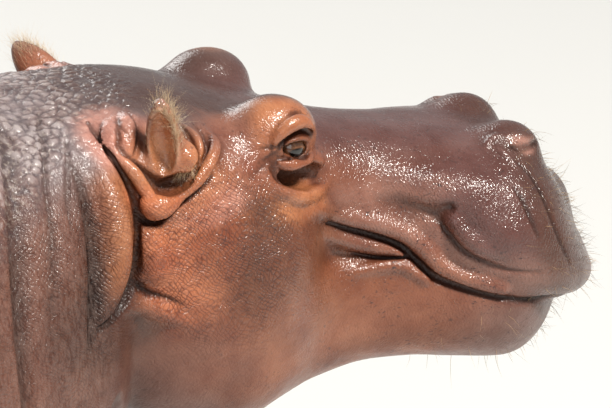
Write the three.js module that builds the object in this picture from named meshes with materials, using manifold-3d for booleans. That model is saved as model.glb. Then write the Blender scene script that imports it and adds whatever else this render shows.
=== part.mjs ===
// A hippopotamus standing square with its mouth closed: an adult, life-size.
// The body is one smooth field of lofts, ellipsoids and tapered limbs, meshed on a grid that is
// fine at the head and coarse on the trunk, then parted into named pieces by thin cuts.
// Design frame in centimetres: +X forward, +Y to the animal's left, +Z up, floor at z = 0.
import * as THREE from "three";
import { mergeVertices } from "three/addons/utils/BufferGeometryUtils.js";
import Module from "manifold-3d";

const wasm = await Module();
wasm.setup();

// ---------------------------------------------------------------- driving dimensions (cm)
const CM = 10;                                  // millimetres in a centimetre
const GAP = 0.03;                               // clear gap between neighbouring pieces
// Sizes of the head are measured from the middle of the line through the eyes.
const HEAD = { x: 132, z: 122.5 };
const EYEBALL = { at: [-1, 14.1, 0.1], radius: 2.25 };
// The opening between the lids: its middle, its half sizes and its tilt in degrees.
const LIDS = { at: [-0.6, 16.7, 0.2], half: [2.1, 2.6, 1.35], tilt: 12 };

// Trunk and neck sections: place, top line, belly line, half width, height of the widest line.
const TRUNK = {
  x: [-136, -123, -101, -74, -38, 0, 33, 58, 78, 91, 102, 115],
  top: [108, 122, 132, 136.5, 138, 138.5, 140, 140, 136.5, 132.5, 130, 125],
  bottom: [86, 68, 51, 38, 32, 31.5, 35.5, 43, 53, 62, 71.5, 82],
  width: [16, 29.5, 39.5, 46.5, 50.5, 50, 45.5, 40.5, 35, 29.5, 24, 18],
  middle: [97, 92, 87, 82, 78, 78, 82, 88, 94, 98, 102, 107],
};
const TRUNK_ENDS = { rump: -136, nape: 106 };

// Skull and muzzle sections.
const SKULL = {
  x: [-36, -28, -20, -12, -5, 2, 8, 14, 20, 27, 34, 40, 48],
  top: [8, 9, 9, 7, 4.4, 1.8, -0.4, -2, -3.2, -4.3, -5.6, -7, -9.5],
  bottom: [-24, -25, -26, -26, -24, -22, -21, -22, -24.5, -27.2, -29.4, -30.2, -30.2],
  width: [20, 20, 19, 17.5, 15.5, 13.6, 12.6, 12.6, 14.5, 18.5, 21, 21.2, 19.5],
  middle: [-8, -8, -8, -9, -10, -11, -13.5, -15.5, -17, -18.5, -20, -21, -21.5],
};
const JAW = {
  x: [-28, -20, -12, -4, 4, 12, 20, 28, 36, 44],
  top: Array(10).fill(-14),
  bottom: [-37, -42, -43.5, -42, -39.5, -38, -38, -39, -40, -38.5],
  width: [17.5, 19.5, 20, 18, 15.5, 14.5, 16, 18.5, 19, 17],
  middle: Array(10).fill(-27),
};
// The line where the lips meet, from the corner of the mouth to the front, and the jaw's rear edge.
const MOUTH = [[-1, -10], [7, -14], [14, -17.2], [20, -21.6], [24, -24.4], [31, -26.6], [40, -27.6], [56, -27.6]];
const JAW_BACK = [[-12, -50], [-9, -30]];

const LEG_SPREAD = 32.5;                        // from the middle plane to a leg's axis
const FORE_FOOT = { x: 53, size: 0.98 };
const HIND_FOOT = { x: -87, size: 0.93 };
const TOE_ANGLES = [-66, -24, 24, 66];
const FOOT_CUT = { fore: 14.5, hind: 13.5 };
const NAIL = { proud: 0.7, inner: 2.0, bottom: 0.4, top: 5.2, lean: 9 };
// The right ear stands up and the left one leans back and out, both opening backward.
const EAR = { base: [-20.6, 17.2, -1.5], length: 13.6, thick: 2.6, wide: 2.9, wall: 0.6 };
const EAR_POSE = { right: { yaw: 38, back: 9, out: 4 }, left: { yaw: 38, back: 21, out: 42 } };
const TAIL = [[-127, 107, 5.6], [-136, 102, 5.8], [-143, 92, 4.6], [-145.5, 80, 3.7], [-145, 69, 3.4],
  [-144, 60, 2.6], [-143.5, 54, 1.2]];

// Facet sizes of each region's net: along, across and up.
const FACET = { head: [4.2, 4, 4], neck: [11, 10, 10], trunk: [14.5, 11.8, 11.8], leg: [6.6, 6.2, 9], foot: [5.2, 5.2, 5.2] };

// ---------------------------------------------------------------- field helpers
const { abs, sqrt, min, max, sin, cos } = Math;
const rad = THREE.MathUtils.degToRad;
const clamp = THREE.MathUtils.clamp;

/** Union of two fields with a fillet of size k. */
function blend(a, b, k) {
  const h = clamp(0.5 + (0.5 * (b - a)) / k, 0, 1);
  return b + (a - b) * h - k * h * (1 - h);
}

/** Intersection of two fields with a rounded edge of size k. */
const trim = (a, b, k) => -blend(-a, -b, k);

/** Smooth curve through stations: cubic Hermite with weighted slopes. */
function curve(xs, ys) {
  const n = xs.length;
  const slope = ys.slice(1).map((y, i) => (y - ys[i]) / (xs[i + 1] - xs[i]));
  const tangent = ys.map((_, i) => {
    if (i === 0) return slope[0];
    if (i === n - 1) return slope[n - 2];
    const before = xs[i] - xs[i - 1];
    const after = xs[i + 1] - xs[i];
    return (slope[i] * before + slope[i - 1] * after) / (before + after);
  });
  return (x) => {
    let i = 0;
    while (i < n - 2 && x > xs[i + 1]) i += 1;
    const span = xs[i + 1] - xs[i];
    const t = clamp((x - xs[i]) / span, 0, 1);
    const t2 = t * t;
    const t3 = t2 * t;
    return (2 * t3 - 3 * t2 + 1) * ys[i] + (t3 - 2 * t2 + t) * span * tangent[i]
      + (3 * t2 - 2 * t3) * ys[i + 1] + (t3 - t2) * span * tangent[i + 1];
  };
}

/** Loft of superellipse sections along X; power sets how square the section is. */
function loft(table, powerTop, powerBottom) {
  const [top, bottom, width, middle] = ["top", "bottom", "width", "middle"].map((k) => curve(table.x, table[k]));
  return (x, y, z) => {
    const centre = middle(x);
    const dz = z - centre;
    const half = width(x);
    const reach = dz > 0 ? top(x) - centre : centre - bottom(x);
    const power = dz > 0 ? powerTop : powerBottom;
    const q = ((abs(y) / half) ** power + (abs(dz) / reach) ** power) ** (1 / power);
    return q > 1e-4 ? sqrt(y * y + dz * dz) * (1 - 1 / q) : -min(half, reach);
  };
}

/** Ellipsoid; pitch turns it about Y, in degrees. */
function ellipsoid([cx, cy, cz], [rx, ry, rz], pitch = 0) {
  const c = cos(rad(pitch));
  const s = sin(rad(pitch));
  return (x, y, z) => {
    const u = (x - cx) * c - (z - cz) * s;
    const v = y - cy;
    const w = (x - cx) * s + (z - cz) * c;
    const k0 = sqrt((u / rx) ** 2 + (v / ry) ** 2 + (w / rz) ** 2);
    const k1 = sqrt((u / rx ** 2) ** 2 + (v / ry ** 2) ** 2 + (w / rz ** 2) ** 2);
    return (k0 * (k0 - 1)) / max(k1, 1e-6);
  };
}

/** Limb of round section from a to b whose radius goes from ra to rb. */
function limb([ax, ay, az], [bx, by, bz], ra, rb) {
  const [dx, dy, dz] = [bx - ax, by - ay, bz - az];
  const length2 = dx * dx + dy * dy + dz * dz;
  return (x, y, z) => {
    const t = clamp(((x - ax) * dx + (y - ay) * dy + (z - az) * dz) / length2, 0, 1);
    return sqrt((x - ax - t * dx) ** 2 + (y - ay - t * dy) ** 2 + (z - az - t * dz) ** 2) - (ra + (rb - ra) * t);
  };
}

/** Chain of fields joined one after another with the same fillet. */
const chain = (k, ...fields) => (x, y, z) => fields.reduce((d, f) => blend(d, f(x, y, z), k), 1e3);

// ---------------------------------------------------------------- the animal's field
/** Where a toe of a foot starts and ends. */
function toe(foot, angle) {
  const [c, s] = [cos(rad(angle)) * foot.size, sin(rad(angle)) * foot.size];
  return {
    root: [foot.x + 5 * c, LEG_SPREAD + 6 * s, 9 * foot.size],
    tip: [foot.x + 12.6 * c, LEG_SPREAD + 12.6 * s, 3.6 * foot.size],
    radius: 4.5 * foot.size,
  };
}

/** Broad pad with four toes fanned round its front. */
function footField(foot) {
  const s = foot.size;
  const toes = TOE_ANGLES.map((angle) => toe(foot, angle)).map((t) => limb(t.root, t.tip, 6 * s, t.radius));
  return chain(2.5, ellipsoid([foot.x, LEG_SPREAD, 5.5], [14.5 * s, 13.5 * s, 10 * s]), ...toes);
}

const foreLeg = chain(6,
  limb([52, 29, 72], [45, LEG_SPREAD, 50], 18.5, 15.5),
  limb([45, LEG_SPREAD, 50], [50, LEG_SPREAD, 27], 15, 11.8),
  limb([50, LEG_SPREAD, 27], [51, LEG_SPREAD, 10], 11.5, 12.5),
  footField(FORE_FOOT));
const hindLeg = chain(6,
  limb([-86, 28, 80], [-74, 33.5, 58], 23, 17),
  limb([-74, 33.5, 58], [-93, LEG_SPREAD, 36], 16.5, 12),
  limb([-93, LEG_SPREAD, 36], [-90, LEG_SPREAD, 12], 11, 11.6),
  footField(HIND_FOOT));
const barrel = loft(TRUNK, 2.15, 2.15);
const rump = ellipsoid([-101, 16, 94], [35, 27, 37]);
const thigh = ellipsoid([-84, 29, 73], [30, 19, 37]);
const shoulder = ellipsoid([55, 30, 86], [28, 17, 40]);

function bodyField(x, y, z) {
  const side = abs(y);
  let d = trim(barrel(x, y, z), TRUNK_ENDS.rump - x, 25);
  d = trim(d, x - TRUNK_ENDS.nape, 10);
  d = blend(d, rump(x, side, z), 12);
  d = blend(d, thigh(x, side, z), 10);
  d = blend(d, shoulder(x, side, z), 12);
  d = blend(d, foreLeg(x, side, z), 7);
  return blend(d, hindLeg(x, side, z), 7);
}

const skull = loft(SKULL, 2.4, 3);
const jaw = loft(JAW, 2.3, 2.4);
const cheek = ellipsoid([-13, 13, -18], [16, 9, 20]);
const brow = ellipsoid([-3.8, 11.2, 1], [8.2, 5.6, 6.8], -6);
const lidBag = ellipsoid([0.6, 12.6, -3.2], [4.4, 2.9, 2.4]);
const eyeLedge = ellipsoid([-0.5, 12.4, -9], [6.5, 3.6, 2.4], 14);
const nostril = ellipsoid([36.3, 6.9, -8.4], [5, 4.2, 4.2]);

/** Head and closed jaw, in the head's own measure. */
function headField(x, y, z) {
  const side = abs(y);
  const muzzleFront = 0.91 * (x + 0.018 * y * y - 41.6) + 0.415 * (z + 6);
  const chinFront = 0.96 * (x + 0.02 * y * y - 45.5) - 0.28 * (z + 28);
  let d = trim(trim(skull(x, y, z), muzzleFront, 6), -38 - x, 6);
  d = blend(d, trim(trim(jaw(x, y, z), chinFront, 6), -27 - x, 8), 1.2);
  d = blend(d, cheek(x, side, z), 5);
  d = blend(d, brow(x, side, z), 3);
  d = blend(d, lidBag(x, side, z), 1);
  d = blend(d, eyeLedge(x, side, z), 1.5);
  return blend(d, nostril(x, side, z), 3);
}

const animal = (x, y, z) => blend(bodyField(x, y, z), headField(x - HEAD.x, y, z - HEAD.z), 4);

// ---------------------------------------------------------------- meshing
/** Surface net of the animal inside a box, with its vertices moved onto the surface. */
function flesh(low, high, cell) {
  const count = low.map((v, m) => Math.ceil((high[m] - v) / cell[m]) + 1);
  const field = (x, y, z) => [x, y, z].reduce(
    (d, v, m) => max(d, low[m] + 0.6 * cell[m] - v, v - high[m] + 0.6 * cell[m]), animal(x, y, z));
  const at = (i, j, k) => (i * count[1] + j) * count[2] + k;
  const grid = [];
  for (let i = 0; i < count[0]; i += 1) for (let j = 0; j < count[1]; j += 1) for (let k = 0; k < count[2]; k += 1) {
    grid.push([i, j, k]);
  }
  const points = grid.map((g) => g.map((n, m) => low[m] + n * cell[m]));
  const value = points.map((p) => field(...p));
  const corners = [0, 1, 2, 3, 4, 5, 6, 7].map((c) => [c & 1, (c >> 1) & 1, (c >> 2) & 1]);
  const edges = corners.flatMap((a) => [0, 1, 2].filter((axis) => !a[axis]).map(
    (axis) => [a, a.map((v, m) => (m === axis ? 1 : v))]));

  // One vertex in each cell that the surface crosses, at the mean of its edge crossings.
  const vertexOf = new Map();
  const vertices = [];
  for (const [i, j, k] of grid) {
    if (i === count[0] - 1 || j === count[1] - 1 || k === count[2] - 1) continue;
    const crossings = [];
    for (const [a, b] of edges) {
      const p = at(i + a[0], j + a[1], k + a[2]);
      const q = at(i + b[0], j + b[1], k + b[2]);
      if ((value[p] < 0) === (value[q] < 0)) continue;
      const t = value[p] / (value[p] - value[q]);
      crossings.push(points[p].map((v, m) => v + t * (points[q][m] - v)));
    }
    if (!crossings.length) continue;
    vertexOf.set(at(i, j, k), vertices.length);
    vertices.push([0, 1, 2].map((m) => crossings.reduce((s, c) => s + c[m], 0) / crossings.length));
  }
  const reach = 0.05;
  for (let pass = 0; pass < 3; pass += 1) for (const v of vertices) {
    const f = field(...v);
    const slope = [0, 1, 2].map((m) => {
      const [a, b] = [v.slice(), v.slice()];
      a[m] += reach;
      b[m] -= reach;
      return (field(...a) - field(...b)) / (2 * reach);
    });
    const steep = max(slope[0] ** 2 + slope[1] ** 2 + slope[2] ** 2, 0.05);
    for (let m = 0; m < 3; m += 1) v[m] -= clamp(f / steep, -0.5 * cell[m], 0.5 * cell[m]) * slope[m];
  }

  // Two triangles around each grid edge that the surface crosses, split along the shorter diagonal.
  const triangles = [];
  const apart = (a, b) => vertices[a].reduce((s, v, m) => s + (v - vertices[b][m]) ** 2, 0);
  for (const place of grid) for (let axis = 0; axis < 3; axis += 1) {
    const open = place.some((n, m) => (m !== axis && n === 0) || n === count[m] - 1);
    if (open) continue;
    const inside = value[at(...place)] < 0;
    if (inside === (value[at(...place.map((n, m) => n + (m === axis ? 1 : 0)))] < 0)) continue;
    const around = [[-1, -1], [0, -1], [0, 0], [-1, 0]].map(([p, q]) => {
      const cellPlace = [...place];
      cellPlace[(axis + 1) % 3] += p;
      cellPlace[(axis + 2) % 3] += q;
      return vertexOf.get(at(...cellPlace));
    });
    const [a, b, c, d] = inside ? around : around.reverse();
    if (apart(a, c) < apart(b, d)) triangles.push(a, b, c, a, c, d);
    else triangles.push(a, b, d, b, c, d);
  }
  return solid(vertices.flat(), triangles);
}

// ---------------------------------------------------------------- solids
const sides = { left: 1, right: -1 };

/** Place on one side of the head, in the design frame. */
const onHead = ([x, y, z], side) => [HEAD.x + x, side * y, HEAD.z + z];

/** Closed solid from flat lists of coordinates and triangle corners. */
function solid(coordinates, triangles) {
  return new wasm.Manifold(new wasm.Mesh({
    numProp: 3,
    vertProperties: Float32Array.from(coordinates),
    triVerts: Uint32Array.from(triangles),
  }));
}

/** Closed solid from a three.js geometry, moved by a matrix. */
function solidOf(geometry, matrix = new THREE.Matrix4()) {
  const bare = geometry.clone().applyMatrix4(matrix);
  bare.deleteAttribute("normal");
  bare.deleteAttribute("uv");
  const merged = mergeVertices(bare, 1e-3);
  return solid(merged.attributes.position.array, merged.index.array);
}

/** Ellipsoid solid at a place, turned by Euler angles in degrees (order ZYX). */
function egg(place, radii, angles = [0, 0, 0], rings = [10, 8]) {
  const turn = new THREE.Quaternion().setFromEuler(new THREE.Euler(...angles.map(rad), "ZYX"));
  const matrix = new THREE.Matrix4().compose(new THREE.Vector3(...place), turn, new THREE.Vector3(...radii));
  return solidOf(new THREE.SphereGeometry(1, ...rings), matrix);
}

/** Prism whose outline lies in the XZ plane, from y0 to y1. */
function prismAlongY(outline, y0, y1) {
  const shape = new THREE.Shape(outline.map(([x, z]) => new THREE.Vector2(x, z)));
  const geometry = new THREE.ExtrudeGeometry(shape, { depth: y1 - y0, bevelEnabled: false });
  return solidOf(geometry, new THREE.Matrix4().makeRotationX(rad(90)).setPosition(0, y1, 0));
}

/** Prism whose outline lies in the YZ plane, from x0 to x1. */
function prismAlongX(outline, x0, x1) {
  const shape = new THREE.Shape(outline.map(([y, z]) => new THREE.Vector2(y, z)));
  const geometry = new THREE.ExtrudeGeometry(shape, { depth: x1 - x0, bevelEnabled: false });
  const matrix = new THREE.Matrix4().set(0, 0, 1, x0, 1, 0, 0, 0, 0, 1, 0, 0, 0, 0, 0, 1);
  return solidOf(geometry, matrix);
}

/** Everything in front of a sloping plane across the body: through `low` at z = 0 and `high` at z = 160. */
const inFrontOf = (low, high) => prismAlongY([[low, -10], [220, -10], [220, 160], [high, 160]], -80, 80);

/** The space of one leg: below a plane that climbs from the groin or armpit to the flank. */
function legSpace(x0, x1, armpit, flank, side, grow) {
  const outline = [[12 - grow, -10], [66, -10], [66, flank + grow], [12 - grow, armpit + grow]];
  return prismAlongX(side > 0 ? outline : outline.map(([y, z]) => [-y, z]).reverse(), x0 - grow, x1 + grow);
}

/** Tail: a round tube through its stations, flatter from side to side toward the tip. */
function tail(grow) {
  const around = 8;
  const coordinates = [];
  TAIL.forEach(([x, z, radius], i) => {
    const flat = i < 4 ? 1 : 0.62;
    for (let a = 0; a < around; a += 1) {
      const angle = (a / around) * 2 * Math.PI;
      const [dx, dz] = i < 2 ? [-0.45, -0.89] : [0, -1];
      const out = (radius + grow) * cos(angle);
      coordinates.push(x - dz * out * -1, (radius * flat + grow) * sin(angle), z + dx * out * -1);
    }
  });
  const rings = TAIL.length;
  coordinates.push(TAIL[0][0] + 1, 0, TAIL[0][1] + 1, TAIL[rings - 1][0], 0, TAIL[rings - 1][1] - 1 - grow);
  const triangles = [];
  for (let i = 0; i < rings - 1; i += 1) for (let a = 0; a < around; a += 1) {
    const b = (a + 1) % around;
    const [p, q] = [i * around, (i + 1) * around];
    triangles.push(p + a, q + b, q + a, p + a, p + b, q + b);
  }
  for (let a = 0; a < around; a += 1) {
    const b = (a + 1) % around;
    const last = (rings - 1) * around;
    triangles.push(rings * around, b, a, rings * around + 1, last + a, last + b);
  }
  return solid(coordinates, triangles);
}

/** Leaf of round section along +Z from 0 to length, widest below its middle and narrow at the tip. */
function leaf(length, thick, wide) {
  const rows = 8;
  const profile = Array.from({ length: rows + 1 }, (_, i) => {
    const t = (1 - cos((i / rows) * Math.PI)) / 2;
    const radius = i === 0 || i === rows ? 0 : (sqrt(t) * (1 - t) ** 0.68) / 0.447;
    return new THREE.Vector2(radius, t * length);
  });
  const turned = new THREE.LatheGeometry(profile, 12).rotateX(rad(90));
  return turned.scale(thick, wide, 1);
}

/** Ear: a leaf-shaped cup that opens backward and outward. */
function ear(sideName, grow) {
  const side = sides[sideName];
  const { yaw, back, out } = EAR_POSE[sideName];
  const [x, y, z] = EAR.base;
  const pose = new THREE.Matrix4().makeTranslation(...onHead([x, y, z], side))
    .multiply(new THREE.Matrix4().makeRotationX(rad(-side * out)))
    .multiply(new THREE.Matrix4().makeRotationY(rad(-back)))
    .multiply(new THREE.Matrix4().makeRotationZ(rad(-side * yaw)));
  const drop = new THREE.Matrix4().makeTranslation(0, 0, -grow);
  const outer = solidOf(leaf(EAR.length + 2 * grow, EAR.thick + grow, EAR.wide + grow), pose.clone().multiply(drop));
  if (grow) return outer;
  const inside = new THREE.Matrix4().makeTranslation(-0.62 * EAR.thick, 0, 2.2);
  const hollow = leaf(EAR.length - 3.2, EAR.thick, EAR.wide - EAR.wall);
  return outer.subtract(solidOf(hollow, pose.clone().multiply(inside)));
}

/** Nail: a blunt hoof-like plate that wraps the front of a toe and leans back over it.
 *  With a grow it is the space that the toe leaves for it, open to the front. */
function nail(foot, angle, side, grow) {
  const { tip, radius } = toe(foot, angle);
  const reach = radius + NAIL.proud + (grow ? 3 : 0);
  const front = [-38, -13, 13, 38].map((a) => [reach * cos(rad(a)), reach * sin(rad(a))]);
  const back = [[NAIL.inner - grow, 2.1 + grow], [NAIL.inner - grow, -2.1 - grow]];
  const shape = new THREE.Shape([...front, ...back].map(([u, v]) => new THREE.Vector2(u, v)));
  const height = NAIL.top - NAIL.bottom + 2 * grow;
  const plate = new THREE.ExtrudeGeometry(shape, { depth: height, bevelEnabled: false });
  const matrix = new THREE.Matrix4().makeTranslation(tip[0], side * tip[1], 0)
    .multiply(new THREE.Matrix4().makeRotationZ(side * rad(angle)))
    .multiply(new THREE.Matrix4().makeTranslation(0, 0, NAIL.bottom - grow))
    .multiply(new THREE.Matrix4().makeRotationY(rad(-NAIL.lean)));
  return solidOf(plate, matrix).intersect(above(NAIL.bottom - grow));
}

/** Everything above a level. */
const above = (level) => prismAlongY([[-250, level], [250, level], [250, 200], [-250, 200]], -90, 90);

// ---------------------------------------------------------------- pieces
const pieces = {};

// Head and lower jaw: in front of a plane behind the ears, parted by the line of the lips.
const headSpace = inFrontOf(95, 105.5);
const neckSpace = inFrontOf(60, 82);
const fromHead = ([x, z]) => [HEAD.x + x, HEAD.z + z];
const jawSpace = prismAlongY([...MOUTH.map(fromHead), fromHead([56, -50]), ...JAW_BACK.map(fromHead)], -32, 32);
const headFlesh = flesh([88, -30, 70], [186, 30, 142], FACET.head).intersect(headSpace.translate([GAP, 0, 0]));
pieces.lower_jaw = headFlesh.intersect(jawSpace.translate([0.015, 0, -0.06]));
pieces.head = headFlesh.subtract(jawSpace);

// Neck and trunk.
const neckFlesh = flesh([50, -60, 30], [116, 60, 150], FACET.neck);
pieces.neck = neckFlesh.subtract(headSpace).intersect(neckSpace.translate([GAP, 0, 0])).intersect(above(30));
const trunkFlesh = flesh([-162, -70, 10], [108, 70, 162], FACET.trunk);
pieces.trunk = trunkFlesh.subtract(neckSpace).intersect(above(20));

// Legs and feet, each with four nails.
const limbs = [
  { leg: "foreleg", toes: "forefoot", foot: FORE_FOOT, x0: 27, x1: 88, armpit: 30, flank: 70, cut: FOOT_CUT.fore },
  { leg: "hindleg", toes: "hindfoot", foot: HIND_FOOT, x0: -124, x1: -51, armpit: 33, flank: 78, cut: FOOT_CUT.hind },
];
for (const { leg, toes, foot, x0, x1, armpit, flank, cut } of limbs) {
  const legFlesh = flesh([x0 - 8, 4, cut - 12], [x1 + 8, 76, flank + 12], FACET.leg);
  const footFlesh = flesh([foot.x - 24, 8, -8], [foot.x + 26, 58, cut + 8], FACET.foot);
  const mirror = (piece, side) => (side > 0 ? piece : piece.mirror([0, 1, 0]));
  for (const [sideName, side] of Object.entries(sides)) {
    pieces.neck = pieces.neck.subtract(legSpace(x0, x1, armpit, flank, side, GAP));
    pieces.trunk = pieces.trunk.subtract(legSpace(x0, x1, armpit, flank, side, GAP));
    pieces[`${leg}_${sideName}`] = mirror(legFlesh, side).intersect(above(cut + GAP))
      .intersect(legSpace(x0, x1, armpit, flank, side, 0));
    let sole = mirror(footFlesh, side).subtract(above(cut)).intersect(above(0));
    TOE_ANGLES.forEach((angle, i) => {
      sole = sole.subtract(nail(foot, angle, side, GAP));
      pieces[`${toes}_${sideName}_nail_${i + 1}`] = nail(foot, angle, side, 0);
    });
    pieces[`${toes}_${sideName}`] = sole;
  }
}

// Tail, ears and eyes sit in sockets of their own shape.
pieces.tail = tail(0);
pieces.trunk = pieces.trunk.subtract(tail(GAP));
for (const [sideName, side] of Object.entries(sides)) {
  const size = (grow) => Array(3).fill(EYEBALL.radius + grow);
  const ball = (grow) => egg(onHead(EYEBALL.at, side), size(grow), [90, 0, 0], [10, 7]);
  const opening = egg(onHead(LIDS.at, side), LIDS.half, [0, LIDS.tilt, 0], [10, 6]);
  pieces[`ear_${sideName}`] = ear(sideName, 0);
  pieces[`eye_${sideName}`] = ball(0);
  pieces.head = pieces.head.subtract(ear(sideName, GAP)).subtract(ball(GAP)).subtract(opening);
}

// ---------------------------------------------------------------- colours and scene graph
const looks = [
  { match: /^eye/, color: 0x2a160c, roughness: 0.08 },
  { match: /nail/, color: 0x4a3a33, roughness: 0.5 },
  { match: /^ear/, color: 0x8f5a3c, roughness: 0.5 },
  { match: /^head|jaw/, color: 0x95695c, roughness: 0.35 },
  { match: /^neck|trunk|tail/, color: 0x8b736c, roughness: 0.4 },
  { match: /./, color: 0x84685f, roughness: 0.45 },
];

/** Named mesh of a solid, in millimetres, with its own material. */
function meshOf(name, piece) {
  const data = piece.getMesh();
  const positions = new Float32Array(data.numVert * 3);
  for (let v = 0; v < data.numVert; v += 1) for (let m = 0; m < 3; m += 1) {
    positions[v * 3 + m] = data.vertProperties[v * data.numProp + m] * CM;
  }
  const geometry = new THREE.BufferGeometry();
  geometry.setAttribute("position", new THREE.BufferAttribute(positions, 3));
  geometry.setIndex(new THREE.BufferAttribute(Uint32Array.from(data.triVerts), 1));
  geometry.computeVertexNormals();
  const { color, roughness } = looks.find((look) => look.match.test(name));
  const mesh = new THREE.Mesh(geometry, new THREE.MeshStandardMaterial({ color, roughness, metalness: 0 }));
  mesh.name = name;
  return mesh;
}

const hippopotamus = new THREE.Group();
for (const [name, piece] of Object.entries(pieces)) hippopotamus.add(meshOf(name, piece));

// The origin is under the middle of the animal's box, on the floor.
const box = new THREE.Box3().setFromObject(hippopotamus);
const centre = box.getCenter(new THREE.Vector3());
hippopotamus.position.set(-centre.x, -centre.y, -box.min.z);

export default hippopotamus;
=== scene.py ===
import math
import bpy
import numpy as np
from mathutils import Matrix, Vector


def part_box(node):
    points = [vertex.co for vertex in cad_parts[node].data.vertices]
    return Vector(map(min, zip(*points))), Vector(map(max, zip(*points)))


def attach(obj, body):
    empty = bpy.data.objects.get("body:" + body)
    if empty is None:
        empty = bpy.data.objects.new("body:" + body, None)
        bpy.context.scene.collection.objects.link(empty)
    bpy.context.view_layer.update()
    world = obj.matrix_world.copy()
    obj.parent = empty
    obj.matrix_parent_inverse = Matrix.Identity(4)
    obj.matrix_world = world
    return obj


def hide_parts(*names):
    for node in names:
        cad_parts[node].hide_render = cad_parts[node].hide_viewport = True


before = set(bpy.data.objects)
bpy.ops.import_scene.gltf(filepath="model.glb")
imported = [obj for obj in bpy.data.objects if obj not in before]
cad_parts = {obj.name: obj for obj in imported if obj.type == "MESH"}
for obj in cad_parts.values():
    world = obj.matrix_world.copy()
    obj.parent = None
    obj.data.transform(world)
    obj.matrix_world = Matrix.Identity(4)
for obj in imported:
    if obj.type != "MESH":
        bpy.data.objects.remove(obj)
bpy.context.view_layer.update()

# ---------------------------------------------------------------- skin
# The hide of the whole animal: bare, thick and wet, drawn tight over the muzzle and folded at the ears,
# lids, lips and neck. It is one closed surface from the lips to the tail, worked out as a net over one
# smooth field of lofts, ellipsoids and tapered limbs, in centimetres, and then creased.
HEAD = (132.0, 122.5)                              # x and z of the line through the eyes
TRUNK = {
    "x": [-136, -123, -101, -74, -38, 0, 33, 58, 78, 91, 102, 115],
    "top": [108, 122, 132, 136.5, 138, 138.5, 140, 140, 136.5, 132.5, 130, 125],
    "bottom": [86, 68, 51, 38, 32, 31.5, 35.5, 43, 53, 62, 71.5, 82],
    "width": [16, 29.5, 39.5, 46.5, 50.5, 50, 45.5, 40.5, 35, 29.5, 24, 18],
    "middle": [97, 92, 87, 82, 78, 78, 82, 88, 94, 98, 102, 107],
}
SKULL = {
    "x": [-36, -28, -20, -12, -5, 2, 8, 14, 20, 27, 34, 40, 48],
    "top": [8, 9, 9, 7, 4.4, 1.8, -0.4, -2, -3.2, -4.3, -5.6, -7, -9.5],
    "bottom": [-24, -25, -26, -26, -24, -22, -21, -22, -24.5, -27.2, -29.4, -30.2, -30.2],
    "width": [20, 20, 19, 17.5, 15.5, 13.6, 12.6, 12.6, 14.5, 18.5, 21, 21.2, 19.5],
    "middle": [-8, -8, -8, -9, -10, -11, -13.5, -15.5, -17, -18.5, -20, -21, -21.5],
}
JAW = {
    "x": [-28, -20, -12, -4, 4, 12, 20, 28, 36, 44],
    "top": [-14] * 10,
    "bottom": [-37, -42, -43.5, -42, -39.5, -38, -38, -39, -40, -38.5],
    "width": [17.5, 19.5, 20, 18, 15.5, 14.5, 16, 18.5, 19, 17],
    "middle": [-27] * 10,
}
FORE_FOOT = {"x": 53.0, "size": 0.98}
HIND_FOOT = {"x": -87.0, "size": 0.93}
LEG_SPREAD = 32.5
TOE_ANGLES = (-66, -24, 24, 66)
EYEBALL_AT = (-1.0, 14.1, 0.1)                     # from the middle of that line
eye_low, eye_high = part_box("eye_left")
AHEAD = (eye_low.x + eye_high.x) / 2 - (HEAD[0] + EYEBALL_AT[0]) / 100        # where x = 0 lies, in metres
EAR = {"base": (-20.6, 17.2, -1.5), "length": 12.9, "thick": 1.9, "wall": 0.45}
EAR_POSE = {1: {"yaw": 118, "back": 27, "out": 43, "wide": 2.95},     # held back and out on the left
            -1: {"yaw": 54, "back": 7, "out": 4, "wide": 2.4}}        # upright, its cup outward, on the right
EAR_BOX = (98, 10, 112), (124, 36, 144)
EYE_BOX = (126, 9, 116), (138, 22, 128)
EAR_PIT_BOX = (104, 14, 114), (120, 26, 128)
TAIL = [(-127, 107, 5.6), (-136, 102, 5.8), (-143, 92, 4.6), (-145.5, 80, 3.7), (-145, 69, 3.4),
        (-144, 60, 2.6), (-143.5, 54, 1.2)]


def held(values):
    """Values held between 0 and 1."""
    return np.clip(values, 0, 1)


def blend(a, b, k):
    """Union of two fields with a fillet of size k: the lower one, lowered more where they are alike."""
    h = held(0.5 + 0.5 * (b - a) / k)
    return b + (a - b) * h - k * h * (1 - h)


def trim(a, b, k):
    """What is inside both fields, with a rounded edge of size k."""
    return -blend(-a, -b, k)


def curve(xs, ys):
    """A smooth line through stations: cubic between each two, its slope there the mean of both sides'."""
    xs, ys = np.array(xs, float), np.array(ys, float)
    rise = np.diff(ys) / np.diff(xs)
    gap = np.diff(xs)
    between = (rise[1:] * gap[:-1] + rise[:-1] * gap[1:]) / (gap[1:] + gap[:-1])
    slope = np.concatenate([rise[:1], between, rise[-1:]])
    x = np.linspace(xs[0], xs[-1], 500)
    i = np.clip(np.searchsorted(xs, x) - 1, 0, len(xs) - 2)
    t = (x - xs[i]) / gap[i]
    y = ((2 * t**3 - 3 * t**2 + 1) * ys[i] + (t**3 - 2 * t**2 + t) * gap[i] * slope[i]
         + (3 * t**2 - 2 * t**3) * ys[i + 1] + (t**3 - t**2) * gap[i] * slope[i + 1])
    return lambda at: np.interp(at, x, y)


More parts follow.
